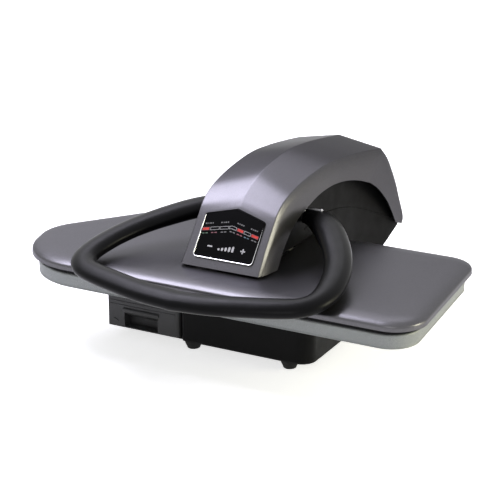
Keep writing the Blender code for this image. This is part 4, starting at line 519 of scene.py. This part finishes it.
nodeFinishes = {
    "pewterPaint": "arch_cover", "shoePaint": "shoe_cover", "trayPaint": "board_tray", "padCloth": "board_pad",
    "innerPlastic": "arch_liner", "gripBlack": "handle_grip", "smokePlastic": "tank_vessel",
    "blackPlastic": "base_shell hinge_tower switch_frame power_rocker tank_cap switch_body",
    "tankPlastic": "tank_fascia tank_lid",
    "blackRubber": "foot cord_gland tank_dock tank_nozzle",
    "panelBlack": "panel_frame panel_glass",
    "windowDark": "indicator_strip",
    "brightTrim": "handle_collar",
    "zincSteel": "arm_plate arm_yoke arm_spacer hinge_bracket hinge_axle anchor_pin axle_clip handle_shaft crank "
                 "lock_link",
    "blackSteel": "bottom_plate",
    "darkSteel": "lift_spring water_pump heater_element",
    "castAluminium": "board_plate shoe_mount",
    "soleMetal": "sole_plate",
    "bushBronze": "hinge_bush thermostat",
    "insulationFelt": "insulation thermal_fuse",
    "hoseSilicone": "pump_hose steam_hose",
    "circuitGreen": "control_board panel_board",
}
finishOf = {name: finishes[finish] for finish, words in nodeFinishes.items() for name in startingWith(words)}
for nodeName, thing in nodes.items():
    thing.data.materials.clear()
    thing.data.materials.append(finishOf[nodeName])
print("finishes given to", len(finishOf), "solids")


board = {
    **lengths(length=608, depth=279),
    "corners": ((-0.944, 0.000, 0.376), (1.0125, 0.000, 0.161), (0.939, 1.000, 0.151),
                (-0.689, 1.000, 0.261), (-1.057, 0.454, 0.243)),
    "cornerSteps": 22,
}
boardMiddle = front + board["depth"] / 2


# The board's outline moved in by distance; share shortens it along its length
def boardOutline(distance, share=1.0):
    corners = [(x * board["length"] / 2, y * board["depth"], r * board["depth"])
               for x, y, r in board["corners"]]
    loop = filletOutline(insetCorners(corners, distance) if distance else corners, board["cornerSteps"])
    return [(x * share, y + front) for x, y in loop]


# A loop drawn in towards the board's middle, at one height
def drawnIn(loop, along, across, height):
    return [(x * along, boardMiddle + (y - boardMiddle) * across, height) for x, y in loop]


shoeCover = {
    # the opening's numbers are its half width, front and rear
    **lengths(sheet=1.2, skirt=11.8, crown=1.0, topInset=31, opening=(44, 98, 205), openingRound=6,
              openingDepth=3),
    # inset of the rolled edge in millimetres, and its height as a share of the skirt
    "roll": ((0.0, 0.00), (0.15, 0.08), (0.30, 0.35), (0.55, 0.50), (1.1, 0.60), (2.0, 0.675), (3.4, 0.745),
             (5.2, 0.812), (7.5, 0.872), (10.2, 0.925), (13.2, 0.968), (16.5, 1.003), (20.0, 1.032),
             (24.0, 1.056), (29.0, 1.076)),
    "openingSteps": 6, "topShares": (0.72, 0.66),
}


def makeShoeCover():
    shape = shoeCover
    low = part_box("shoe_cover")[0].z
    work = bmesh.new()
    rings = [atLevel(boardOutline(inset * mm), low + share * shape["skirt"])
             for inset, share in shape["roll"]]
    topHeight = low + shape["skirt"] + shape["crown"]
    rings.append(drawnIn(boardOutline(shape["topInset"]), *shape["topShares"], topHeight))
    rows = ringSkin(work, rings)
    halfWidth, openFront, openRear = shape["opening"]
    hole = filletOutline(rectangle(-halfWidth, halfWidth, openFront, openRear, shape["openingRound"]),
                         shape["openingSteps"])
    hole = [(x, y + front) for x, y in hole]
    rim = vertexLoop(work, hole, topHeight)
    fillBetween(work, rows[-1], [rim])
    joinLoops(work, rim, vertexLoop(work, hole, topHeight - shape["openingDepth"]))
    made = sheetFrom("shoeShell", work, "shoePaint", 50.0, shape["sheet"])
    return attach(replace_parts(made, "shoe_cover"), "upper")


makeShoeCover()
print("shoe cover done")


trayShape = {
    "share": 0.985,          # the board below is a little shorter than the shoe
    **lengths(sheet=1.6, overBase=1.0, wallStart=2.2, topWidth=12),
    "bottomInset": 6.0, "topInset": 4.6, "edgeRound": 2.5, "bead": 0.8, "wallInset": 0.1,    # in millimetres
    "edgeSteps": 6, "beadSteps": 5, "beadSweep": 0.9, "wallShares": (0.35, 0.6, 0.8),
}


def makeTray():
    shape = trayShape
    low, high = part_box("board_tray")
    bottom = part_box("base_shell")[1].z + shape["overBase"]
    height = high.z - bottom
    foot, bead, edgeRound = shape["bottomInset"], shape["bead"], shape["edgeRound"]
    lean = foot - shape["topInset"]
    levels = []              # inset in millimetres and height of each ring, upwards
    for k in range(shape["beadSteps"] + 1):      # a small rolled bead at the foot of the wall
        angle = math.pi * (0.5 - k / shape["beadSteps"] * shape["beadSweep"])
        levels.append((foot - bead * math.cos(angle), bottom + (bead - bead * math.sin(angle)) * mm))
    levels.append((foot - shape["wallInset"], bottom + shape["wallStart"]))
    for share in shape["wallShares"]:
        levels.append((foot - lean * share, bottom + height * share))
    for k in range(shape["edgeSteps"] + 1):
        angle = math.pi / 2 * k / shape["edgeSteps"]
        levels.append((shape["topInset"] + edgeRound * (1 - math.cos(angle)),
                       high.z - (edgeRound - edgeRound * math.sin(angle)) * mm))
    work = bmesh.new()
    rows = ringSkin(work, [atLevel(boardOutline(inset * mm, shape["share"]), level) for inset, level in levels])
    inner = vertexLoop(work, boardOutline(shape["topWidth"], shape["share"]), high.z)
    joinLoops(work, rows[-1], inner)
    fillBetween(work, inner)
    return sheetFrom("trayShell", work, "trayPaint", 50.0, shape["sheet"])


trayPost = {
    **lengths(columns=(-70, 92), rows=(130, 255),
              profile=((0.0, 0.0), (7.2, 0.0), (7.8, 0.6), (7.0, 18.6), (0.0, 18.6))),
    "steps": 28,
}
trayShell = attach(makeTray(), "base")
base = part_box("board_tray")[0].z
postPlaces = [(column, row) for column in trayPost["columns"] for row in trayPost["rows"]]
for index, (column, row) in enumerate(postPlaces):
    post = lathe("trayPost%d" % index, trayPost["profile"], (column, front + row, base), (0, 0, 1),
                 "trayPaint", trayPost["steps"])
    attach(post, "base")
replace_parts(trayShell, "board_tray")

padShape = {
    "inset": 5.0, "swell": 1.6,      # in millimetres
    "share": 0.988, "edgeSteps": 8,
    **lengths(wrap=1.1, crownInset=30),      # wrap is how far the bound edge reaches below the pad
    # inset and drop in millimetres over the stitched channel inside the binding
    "channel": ((11.0, 0.02), (14.0, 0.28), (16.0, 0.35), (18.0, 0.25), (22.0, 0.06), (30.0, 0.0)),
    "crownShares": (0.85, 0.6, 0.3), "underShares": (0.955, 0.915),
}


def makePad():
    shape = padShape
    low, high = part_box("board_pad")
    foot = low.z - shape["wrap"]
    height = high.z - foot
    work = bmesh.new()
    rings = []
    for k in range(shape["edgeSteps"] + 1):
        angle = -math.pi / 2 + math.pi * k / shape["edgeSteps"]
        bulge = shape["swell"] * (1 - math.cos(angle))
        rings.append(atLevel(boardOutline((shape["inset"] + bulge) * mm, shape["share"]),
                             foot + height * (0.5 + 0.5 * math.sin(angle))))
    bindingRings = len(rings)
    for inset, drop in shape["channel"]:
        rings.append(atLevel(boardOutline(inset * mm, shape["share"]), high.z - drop * mm))
    crown = boardOutline(shape["crownInset"], shape["share"])
    rings += [drawnIn(crown, share, share, high.z) for share in shape["crownShares"]]
    rows = ringSkin(work, rings)
    work.faces.new(rows[-1])
    underRing = drawnIn([vertex.co.xy for vertex in rows[0]], *shape["underShares"], low.z)
    under = [work.verts.new(point) for point in underRing]
    joinLoops(work, under, rows[0])
    work.faces.new(list(reversed(under)))
    bmesh.ops.recalc_face_normals(work, faces=work.faces)
    work.faces.index_update()
    # the outer rings are the edge binding, whose near-black cloth paints the shade in the gap under the shoe
    for face in work.faces:     # the outer rings are the edge binding
        face.material_index = 1 if face.index < bindingRings * len(rows[0]) else 0
    made = fromBmesh("padCover", work, "padCloth", 60.0)
    made.data.materials.append(finishes["paintedShadeBinding"])
    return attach(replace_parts(made, "board_pad"), "base")


makePad()
print("tray and pad done")


arch = {
    **lengths(footSetback=61, reach=468, rise=114, foot=149.5, halfWidth=57, sheet=2.4, eaveRound=1.6,
              ridgeRound=1.6, rimRound=0.9, flankSwell=2.3),
    "roundSteps": 4, "flankShares": (0.82, 0.64, 0.48, 0.34, 0.22, 0.12),
    "swellPowers": (0.7, 1.3), "swellShare": 0.83,
    "faceRings": 6, "roofRings": 44, "backRings": 22,
    "roofStart": 2, "backStart": 10,      # the rows below at which the roof and the back begin
    # depth and height of eave, ridge and lower edge, then width at the eave and flare below it
    "rows": ((-0.003, -0.015, -0.003, -0.015, 0.086, -0.035, 1.030, 0.130),
             (0.049, 0.249, 0.049, 0.249, 0.128, 0.154, 1.004, 0.132),
             (0.098, 0.498, 0.121, 0.615, 0.175, 0.329, 1.009, 0.123),
             (0.122, 0.612, 0.150, 0.716, 0.201, 0.396, 1.018, 0.123),
             (0.158, 0.706, 0.194, 0.811, 0.239, 0.470, 1.026, 0.123),
             (0.205, 0.776, 0.250, 0.899, 0.284, 0.522, 1.035, 0.123),
             (0.299, 0.851, 0.327, 0.961, 0.350, 0.592, 1.053, 0.123),
             (0.436, 0.895, 0.436, 1.004, 0.430, 0.623, 1.088, 0.123),
             (0.564, 0.860, 0.558, 0.974, 0.521, 0.588, 1.123, 0.123),
             (0.692, 0.794, 0.682, 0.908, 0.609, 0.500, 1.158, 0.123),
             (0.799, 0.724, 0.795, 0.838, 0.692, 0.377, 1.202, 0.105),
             (0.857, 0.522, 0.874, 0.601, 0.756, 0.232, 1.202, 0.088),
             (0.923, 0.171, 0.942, 0.215, 0.831, 0.004, 1.193, 0.070),
             (0.964, -0.118, 0.981, -0.101, 0.882, -0.197, 1.184, 0.053),
             (1.007, -0.440, 1.020, -0.431, 0.930, -0.425, 1.175, 0.035),
             (0.995, -0.545, 1.008, -0.536, 0.940, -0.465, 1.175, 0.035)),
}


def archPoint(depthShare, heightShare):
    return (front + arch["footSetback"] + depthShare * arch["reach"],
            arch["foot"] + heightShare * arch["rise"])


# Points over the arch from its left lower edge to its right one
def archSection(row):
    shape = arch
    eave = Vector((shape["halfWidth"] * row[6], *archPoint(row[0], row[1])))
    ridge = Vector((0.0, *archPoint(row[2], row[3])))
    edge = Vector((shape["halfWidth"] * (row[6] + row[7]), *archPoint(row[4], row[5])))
    toEdge = (edge - eave).normalized()
    toRidge = (ridge - eave).normalized()
    outward = Vector((1.0, 0.0, 0.0)) - toEdge * toEdge.x
    half = [edge]
    rising, falling = shape["swellPowers"]
    for t in shape["flankShares"]:      # the flank swells a little below the eave
        half.append(eave + (edge - eave) * t
                    + outward * shape["flankSwell"] * 4 * t ** rising * (1 - t) ** falling
                    * shape["swellShare"])
    soft = shape["eaveRound"]
    steps = shape["roundSteps"]
    for k in range(steps + 1):       # a small round at the eave
        t = k / steps
        half.append(eave + toEdge * soft * (1 - t) ** 2 + toRidge * soft * t ** 2)
    half.append(eave + (ridge - eave) * 0.5)
    crest = shape["ridgeRound"]
    other = Vector((-toRidge.x, toRidge.y, toRidge.z))
    for k in range(steps // 2 + 1):       # the first half of a small round at the ridge
        t = k / steps
        half.append(ridge - toRidge * crest * (1 - t) ** 2 - other * crest * t ** 2)
    return [(-p.x, p.y, p.z) for p in half] + [tuple(p) for p in reversed(half[:-1])]


# Rows on the straight from first towards last, as many as count
def straightRows(first, last, steps, count):
    return [[a + (b - a) * k / steps for a, b in zip(first, last)] for k in range(count)]


def makeArch():
    drawn, steps = arch["rows"], arch["faceRings"]
    roofStart, backStart = arch["roofStart"], arch["backStart"]
    rows = straightRows(drawn[0], drawn[1], steps, steps)
    rows += straightRows(drawn[1], drawn[roofStart], steps, steps + 1)
    rows += evenRows(drawn[roofStart:backStart + 1], arch["roofRings"])[1:]
    rows += evenRows(drawn[backStart:], arch["backRings"])[1:]
    work = bmesh.new()
    ringSkin(work, [archSection(row) for row in rows], closed=False)
    made = sheetFrom("archShell", work, "pewterPaint", 70.0, arch["sheet"])
    made.modifiers["sheet"].use_even_offset = True
    addBevel(made, arch["rimRound"], 60.0, True, 60)
    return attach(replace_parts(made, "arch_cover"), "upper")


makeArch()
print("arch done")


handle = {
    **lengths(pivot=(207, 191), halfWidth=177, drop=47.0, frontReach=57, radius=18.5),
    "flatness": 0.60, "steps": 7, "sides": 36,
    # half of the loop from its pivot to the middle of the front bar: across, forward, thickness
    "line": ((0.324, 0.000, 0.86), (0.342, 0.000, 0.87), (0.362, 0.000, 0.90), (0.400, 0.010, 0.95),
             (0.450, 0.028, 1.02), (0.520, 0.067, 1.10), (0.600, 0.122, 1.13), (0.690, 0.198, 1.11),
             (0.790, 0.296, 1.06), (0.880, 0.405, 1.02), (0.945, 0.515, 1.00), (0.985, 0.625, 0.99),
             (0.998, 0.720, 0.965), (0.975, 0.800, 0.94), (0.900, 0.862, 0.95), (0.770, 0.900, 0.98),
             (0.560, 0.938, 1.00), (0.290, 0.979, 1.00), (0.000, 1.000, 1.00)),
}


def makeHandle():
    reach = handle["pivot"][0] + handle["frontReach"]
    slopeLength = math.hypot(reach, handle["drop"])
    tilt = math.atan2(handle["drop"], reach)
    half = smoothRows(handle["line"], handle["steps"])
    points = [(side * x * handle["halfWidth"], -forward * slopeLength, 0.0, thick)
              for side, part in ((-1, half), (1, list(reversed(half[:-1])))) for x, forward, thick in part]
    made = tubeAlong("handleLoop", points, handle["radius"], "gripBlack", handle["sides"],
                     handle["flatness"])
    made.data.transform(Matrix.Translation((0.0, handle["pivot"][0] + front, handle["pivot"][1]))
                        @ Matrix.Rotation(tilt, 4, "X"))
    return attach(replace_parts(made, "handle_grip"), "handle")


makeHandle()
print("handle done")


panel = {
    **lengths(stripEnds=48.0, stripMiddle=57.0, stripHeight=4.5, stripHalf=42.7, stripTop=2.41, lineWidth=0.5,
              lineRise=0.12, litRise=0.08, glassTop=1.5, markRise=0.06, halfWidth=45.5, bottom=10.5,
              shoulder=74.5, cornerRound=6.0),
    # windows of the strip: from and to in millimetres, lit, tint of the marks below
    "windows": ((-42.6, -32.4, True, "printGreen"), (-31.2, -18.2, False, "printRose"),
                (-17.2, -4.6, False, "printGrey"), (-3.6, 7.4, False, "printGrey"),
                (8.4, 18.6, True, "printRose"), (19.6, 30.2, False, "printBlue"), (31.2, 42.6, True, "printGrey")),
    "litInset": 1.3, "markRound": 0.3,
}
faceTop = arch["rows"][arch["roofStart"]]
faceSlope = math.atan2(faceTop[1] * arch["rise"], faceTop[0] * arch["reach"])
facePlane = (Matrix.Translation((0.0, front + arch["footSetback"], arch["foot"]))
             @ Matrix.Rotation(faceSlope, 4, "X"))


def stripRise(x):
    share = 1 - abs(x) / panel["stripHalf"]
    return panel["stripEnds"] + (panel["stripMiddle"] - panel["stripEnds"]) * share


# A window of the chevron strip; it bends where it crosses the middle
def stripOutline(start, end, inset):
    xs = [start + inset, end - inset]
    if start < 0 < end:
        xs.insert(1, 0.0)
    lower = [(x, stripRise(x) + inset) for x in xs]
    upper = [(x, stripRise(x) + panel["stripHeight"] - inset) for x in reversed(xs)]
    return lower + upper


# A plain printed dash on the panel's glass
def panelMark(name, x, rise, width, height, tint, slope=0.0):
    place = facePlane @ Matrix.Translation((x, rise, 0.0)) @ Matrix.Rotation(slope, 4, "Z")
    corners = rectangle(-width / 2, width / 2, -height / 2, height / 2, height * panel["markRound"])
    return slab(name, filletOutline(corners, 3), panel["glassTop"],
                panel["glassTop"] + panel["markRise"], tint, place)


marks = {
    **lengths(upperWidths=(2.2, 1.4, 2.6, 1.8), upperRise=10.8, upperHeight=1.9, lowerPitch=2.4, lowerDrop=3.6,
              lowerWidth=3.6, lowerHeight=1.4, minusPlace=-24, plusPlace=26, signRise=28.5, signLong=7.5,
              signThick=2.0, levelFoot=24.5, levelWidth=3.2),
    "levels": 5,
    # in millimetres, as they are added up before a mark is placed
    "upperPlaces": (-35, -13, 11, 33), "upperStart": 4.6, "upperPitch": 3.1,
    "levelStart": -10, "levelPitch": 5.2, "levelShort": 3.0, "levelStep": 1.4,
}


def makePanel():
    stripTop, line = panel["stripTop"], panel["lineWidth"]
    pieces = []
    for index, (start, end, lit, tint) in enumerate(panel["windows"]):
        outer, inner, lamp = (stripOutline(start * mm, end * mm, inset)
                              for inset in (0.0, line, line * panel["litInset"]))
        # A lit window's line is rose, painting the red light its window spills on it; an unlit window's line is
        # white
        pieces.append(slab("windowLine%d" % index, outer, stripTop, stripTop + panel["lineRise"],
                           "printRose" if lit else "printWhite", facePlane, 0.0, [inner]))
        if lit:
            pieces.append(slab("windowLit%d" % index, lamp, stripTop, stripTop + panel["litRise"],
                               "litRed", facePlane))
    slope = math.atan2(panel["stripMiddle"] - panel["stripEnds"], panel["stripHalf"])
    printed = []             # name, place, rise, width, height, tint and slope of every mark
    for index, x in enumerate(marks["upperPlaces"]):         # a row of plain marks over the strip
        lean = math.copysign(slope, -x)
        for part, width in enumerate(marks["upperWidths"]):
            place = (x - marks["upperStart"] + marks["upperPitch"] * part) * mm
            printed.append(("upperMark%d%d" % (index, part), place, stripRise(place) + marks["upperRise"],
                            width, marks["upperHeight"], "printGrey", lean))
    for index, (start, end, lit, tint) in enumerate(panel["windows"]):
        x = (start + end) / 2 * mm
        lean = math.copysign(slope, -x)
        for word, part in (("a", -1), ("b", 1)):
            place = x + part * marks["lowerPitch"]
            printed.append(("lowerMark%d%s" % (index, word), place, stripRise(place) - marks["lowerDrop"],
                            marks["lowerWidth"], marks["lowerHeight"], tint, lean))
    # plain minus, level and plus marks in the middle of the panel
    rise, long, thick = marks["signRise"], marks["signLong"], marks["signThick"]
    printed.append(("minusMark", marks["minusPlace"], rise, long, thick, "printWhite"))
    for index in range(marks["levels"]):
        tall = (marks["levelShort"] + marks["levelStep"] * index) * mm
        place = (marks["levelStart"] + marks["levelPitch"] * index) * mm
        printed.append(("levelMark%d" % index, place, marks["levelFoot"] + tall / 2,
                        marks["levelWidth"], tall, "printWhite"))
    printed.append(("plusMarkA", marks["plusPlace"], rise, long, thick, "printWhite"))
    printed.append(("plusMarkB", marks["plusPlace"], rise, thick, long, "printWhite"))
    pieces += [panelMark(*mark) for mark in printed]
    for piece in pieces:
        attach(piece, "upper")
    return pieces


highlightBeadShape = {
    **lengths(radius=0.95, inset=0.75, rise=1.55, endDrop=3.0),
    "thin": 0.55, "taper": 0.45, "endTaper": 0.2, "leftSteps": 8, "leftTaperSteps": 3, "steps": 6, "sides": 12,
}


# The bright bead paints the highlight on the panel's bevel: full along the left and the bottom, where the light
# falls, thin up the right side
def makeHighlightBead():
    shape = highlightBeadShape
    side = panel["halfWidth"] - shape["inset"]
    low = panel["bottom"] + shape["inset"]
    high = panel["shoulder"] - shape["endDrop"]
    bend = panel["cornerRound"] - shape["inset"]
    thin, taper, steps = shape["thin"], shape["taper"], shape["steps"]
    line = [(-side, high - k * (high - low - bend) / shape["leftSteps"], 0.0,
             thin + taper * min(k / shape["leftTaperSteps"], 1.0)) for k in range(shape["leftSteps"] + 1)]
    turns = [(k, math.pi / 2 * k / steps) for k in range(1, steps + 1)]
    line += [(-side + bend - bend * math.cos(angle), low + bend - bend * math.sin(angle), 0.0, 1.0)
             for k, angle in turns]
    line += [(-side + bend + (side - bend) * 2 * k / steps, low, 0.0, 1.0) for k, angle in turns]
    line += [(side - bend + bend * math.sin(angle), low + bend - bend * math.cos(angle), 0.0,
              1.0 - taper * k / steps) for k, angle in turns]
    line += [(side, low + bend + k * (high - low - bend) / steps, 0.0, thin - shape["endTaper"] * k / steps)
             for k, angle in turns]
    made = tubeAlong("panelHighlightBead", line, shape["radius"], "brightTrim", shape["sides"])
    made.data.transform(Matrix.Translation((middleX, 0.0, 0.0)) @ facePlane
                        @ Matrix.Translation((-middleX, 0.0, shape["rise"])))
    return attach(made, "upper")


makeHighlightBead()
panelPieces = makePanel()
print("panel done:", len(panelPieces), "marks")


tankDetail = {
    **lengths(ribs=(50.0, 55.4, 60.8, 66.2, 79.4, 84.8, 90.2, 95.6), ribHeight=1.5, ribSpan=(-203.5, -95.0),
              ribEnd=1.5, barHeight=43.6, barRadius=3.4, barSpan=(-181.0, -122.5), barEnd=2, barEndSink=0.6,
              barSink=0.4),
    "ribTaper": 0.6, "ribSides": 10, "barTaper": 0.8, "barSides": 18,
}


# Fine ribs across the tank's front and a rounded bar over its grip
def makeTankDetail():
    shape = tankDetail
    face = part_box("tank_fascia")[0].y
    pieces = [taperedBar("tankRib%d" % index, shape["ribSpan"], (face, face), height, shape["ribEnd"],
                         shape["ribTaper"], shape["ribHeight"] / 2, "tankPlastic", shape["ribSides"])
              for index, height in enumerate(shape["ribs"])]
    depths = (face + shape["barEndSink"], face + shape["barSink"])
    pieces.append(taperedBar("tankGripBar", shape["barSpan"], depths, shape["barHeight"], shape["barEnd"],
                             shape["barTaper"], shape["barRadius"], "tankPlastic", shape["barSides"]))
    for piece in pieces:
        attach(piece, "tank")
    return pieces


tankPieces = makeTankDetail()
print("tank detail done:", len(tankPieces), "pieces")

linerLine = {
    "places": ((0.330, 0.150), (0.387, 0.204), (0.450, 0.207), (0.543, 0.162), (0.641, 0.075), (0.758, -0.089),
               (0.873, -0.288), (0.950, -0.440)),
    **lengths(radius=0.6, proud=0.15, lookFrom=200), "steps": 5, "sides": 8,
}


# A fine moulded line along each side of the liner, laid on the liner's own surface
def makeLinerLine(name, side):
    liner = nodes["arch_liner"]
    places = []
    for depthShare, heightShare in smoothRows(linerLine["places"], linerLine["steps"]):
        depth, height = archPoint(depthShare, heightShare)
        outside = Vector((middleX + side * linerLine["lookFrom"], depth, height))
        found, place = liner.ray_cast(outside, Vector((-side, 0.0, 0.0)))[:2]
        if found:
            places.append((place.x - middleX + side * linerLine["proud"], depth, height))
    made = tubeAlong(name, places, linerLine["radius"], "innerPlastic", linerLine["sides"])
    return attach(made, "upper")


for word, side in bothSides:
    makeLinerLine("linerLine" + word, side)

pivotPin = {
    # the profile is a stem, a chamfered head and a dimple in its end
    **lengths(start=60.0, depth=205.5, height=201.6,
              profile=((0.0, 0.0), (1.6, 0.0), (2.0, 0.3), (2.0, 18.8), (2.34, 19.0), (2.6, 19.6), (2.6, 21.2),
                       (2.08, 21.8), (0.8, 22.0), (0.7, 20.8), (0.0, 20.8))),
    "steps": 24,
}


# The bright pin that shows over each end of the handle
def makePivotPin(name, side):
    place = (side * pivotPin["start"], front + pivotPin["depth"], pivotPin["height"])
    made = lathe(name, pivotPin["profile"], place, (side, 0, 0), "zincSteel", pivotPin["steps"])
    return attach(made, "handle")


for word, side in bothSides:
    makePivotPin("pivotPin" + word, side)
print("liner lines and pivot pins done")

underside = {
    **lengths(screws=((-76, 160), (100, 160), (-76, 300), (76, 300), (-76, 420), (76, 420)), screwRadius=3.4,
              screwHeight=1.5, crossLength=4.0, crossWidth=0.9, screwRound=0.35, seatHeight=0.6, seatDepth=0.4,
              ventPitch=7.0, ventLength=62.0, ventRadius=1.5, ventPlace=200.0, ventEnd=3),
    "screwTurn": 0.4, "screwSides": 24, "vents": 9, "ventTaper": 0.5, "ventSides": 12,
}


# Cross-head screws and a field of pressed louvres on the sheet steel floor
def makeUnderside():
    shape = underside
    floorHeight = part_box("bottom_plate")[0].z
    pieces = []
    radius, height, sides = shape["screwRadius"], shape["screwHeight"], shape["screwSides"]
    seat, sunk = shape["seatHeight"], -shape["seatDepth"]
    arm, slot = shape["crossLength"] / 2, shape["crossWidth"] / 2
    cross = [(-slot, -arm), (slot, -arm), (slot, -slot), (arm, -slot), (arm, slot), (slot, slot),
             (slot, arm), (-slot, arm), (-slot, slot), (-arm, slot), (-arm, -slot), (-slot, -slot)]
    rim = circle(radius, sides)
    for index, (x, depth) in enumerate(shape["screws"]):
        place = (x, front + depth, floorHeight)
        over = (Matrix.Translation(place) @ Matrix.Rotation(math.pi, 4, "X")
                @ Matrix.Rotation(shape["screwTurn"] * index, 4, "Z"))
        pieces.append(slab("floorScrew%d" % index, rim, seat, height, "zincSteel", over, shape["screwRound"],
                           [cross]))
        pieces.append(lathe("floorScrewSeat%d" % index, [(0.0, sunk), (radius, sunk), (radius, seat), (0.0, seat)],
                            place, (0, 0, -1), "zincSteel", sides))
    half = shape["ventLength"] / 2
    for index in range(shape["vents"]):
        depth = front + shape["ventPlace"] + index * shape["ventPitch"]
        pieces.append(taperedBar("floorVent%d" % index, (-half, half), (depth, depth), floorHeight,
                                 shape["ventEnd"], shape["ventTaper"], shape["ventRadius"],
                                 "blackSteel", shape["ventSides"]))
    for piece in pieces:
        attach(piece, "base")
    return pieces


undersidePieces = makeUnderside()
print("underside done:", len(undersidePieces), "pieces")

# The round of the edges in millimetres, and the solids that have it
edgeRounds = {
    0.25: "panel_glass",
    0.3: "switch_frame control_board",
    0.4: "bottom_plate arm_plate crank power_rocker",
    0.5: "tank_lid tank_cap panel_frame sole_plate arm_yoke hinge_bracket lock_link handle_collar "
         "cord_gland",
    0.6: "arch_liner shoe_mount",
    0.7: "base_shell tank_fascia tank_vessel",
    0.8: "foot",
    1.0: "hinge_tower",
}
roundedNodes = [(name, width) for width, words in edgeRounds.items() for name in startingWith(words)]
for nodeName, width in roundedNodes:
    softenNode(nodeName, width * mm)
print("edges rounded on", len(roundedNodes), "solids")


# Puts a lamp or the camera at place, looking along direction
def aimFrom(thing, place, direction):
    thing.location = place
    thing.rotation_mode = "QUATERNION"
    thing.rotation_quaternion = direction.to_track_quat("-Z", "Y")


cameraPlace = {
    "position": (0.99198 + middleX, front - 1.718233, 0.88999), "azimuth": 28.0, "elevation": 19.32,
    "lens": 117.0, "sensor": 36.0,
}
azimuth = math.radians(cameraPlace["azimuth"])
elevation = math.radians(cameraPlace["elevation"])
back = Vector((math.sin(azimuth) * math.cos(elevation), -math.cos(azimuth) * math.cos(elevation),
               math.sin(elevation)))
cameraData = bpy.data.cameras.new("camera")
cameraData.sensor_width = cameraPlace["sensor"]
cameraData.lens = cameraPlace["lens"]
camera = linkObject("camera", cameraData)
aimFrom(camera, cameraPlace["position"], -back)
bpy.context.scene.camera = camera
bpy.context.scene.view_settings.view_transform = "Standard"

lampAim = Vector((0.0, 0.0, 0.12))
studio = {
    # place in metres, width and length, power in watts, colour
    "leftSoft": ((-1.22, 0.22, 1.86), (2.15, 1.1), 23.0, (0.87, 0.85, 1.0)),
    "leftCore": ((-1.00, 0.08, 1.91), (1.65, 0.70), 31.0, (0.87, 0.85, 1.0)),
    "backTop": ((-0.68, 1.55, 1.75), (1.1, 0.7), 4.0, (0.92, 0.91, 1.0)),
    "front": ((0.6, -2.3, 1.3), (1.0, 1.0), 7.0, (1.0, 1.0, 1.0)),
    "right": ((1.72, 0.30, 0.70), (0.7, 0.8), 18.0, (1.0, 0.97, 0.70)),
    "rightLow": ((1.65, 0.95, 0.32), (0.5, 0.3), 2.0, (1.0, 0.94, 0.60)),
    "backLeft": ((-1.7, 1.65, 1.05), (1.0, 1.0), 1.4, (0.95, 0.94, 1.0)),
}
for lampName, (place, size, power, color) in studio.items():
    lampData = bpy.data.lights.new(lampName, "AREA")
    lampData.shape = "RECTANGLE"
    lampData.size, lampData.size_y = size
    lampData.energy = power
    lampData.color = color
    lamp = linkObject(lampName, lampData)
    lamp.visible_camera = False
    aimFrom(lamp, place, lampAim - Vector(place))


def whiteSource(tree, kind, strength):
    return addNode(tree, kind, {"Color": (1.0, 1.0, 1.0, 1.0), "Strength": strength}).outputs[0]


# Shows seen to the camera and in mirrors and glass, and unseen to the light that falls on things
def chooseShader(tree, unseen, seen):
    rays = addNode(tree, "LightPath", {}).outputs
    direct = rays["Is Camera Ray"]
    for kind in ("Is Glossy Ray", "Is Transmission Ray"):
        direct = addNode(tree, "Math", {0: direct, 1: rays[kind]}, operation="MAXIMUM").outputs["Value"]
    return addNode(tree, "MixShader", {"Fac": direct, 1: unseen, 2: seen}).outputs["Shader"]


worldLook = {"fill": 0.16, "backdrop": 1.0}
world = bpy.data.worlds.new("studioWorld")
bpy.context.scene.world = world
world.use_nodes = True
worldTree = world.node_tree
worldTree.nodes.clear()
surroundings = chooseShader(worldTree, whiteSource(worldTree, "Background", worldLook["fill"]),
                            whiteSource(worldTree, "Background", worldLook["backdrop"]))
addNode(worldTree, "OutputWorld", {"Surface": surroundings})

floorLook = {
    "halfSize": 14.0, "cells": 4, "speckle": 60.0, "low": (0.92, 0.92, 0.92), "high": (0.94, 0.94, 0.94),
    # the glow grows away from the object, so the far floor stays white and the near one keeps the shadow
    "glow": {"From Min": 1.1, "From Max": 4.5, "To Min": 0.70, "To Max": 0.96},
}
floorTree, floorShader = newFinish("paleFloor")
speckle = noiseNode(floorTree, floorLook["speckle"], 2.0)
feed(floorShader, {"Roughness": 0.9, "Specular IOR Level": 0.0,
                   "Base Color": twoTone(floorTree, speckle, floorLook["low"], floorLook["high"])})
distance = addNode(floorTree, "VectorMath", {0: objectPlace(floorTree)}, operation="LENGTH").outputs["Value"]
growth = addNode(floorTree, "MapRange", {**floorLook["glow"], "Value": distance}).outputs["Result"]
floorGlow = chooseShader(floorTree, whiteSource(floorTree, "Emission", 0.0),
                         whiteSource(floorTree, "Emission", growth))
both = addNode(floorTree, "AddShader", {0: floorShader.outputs["BSDF"], 1: floorGlow}).outputs["Shader"]
feed(floorTree.nodes["Material Output"], {"Surface": both})
floorWork = bmesh.new()
bmesh.ops.create_grid(floorWork, x_segments=floorLook["cells"], y_segments=floorLook["cells"],
                      size=floorLook["halfSize"])
floor = fromBmesh("floor", floorWork, "paleFloor")
print("camera and light set")
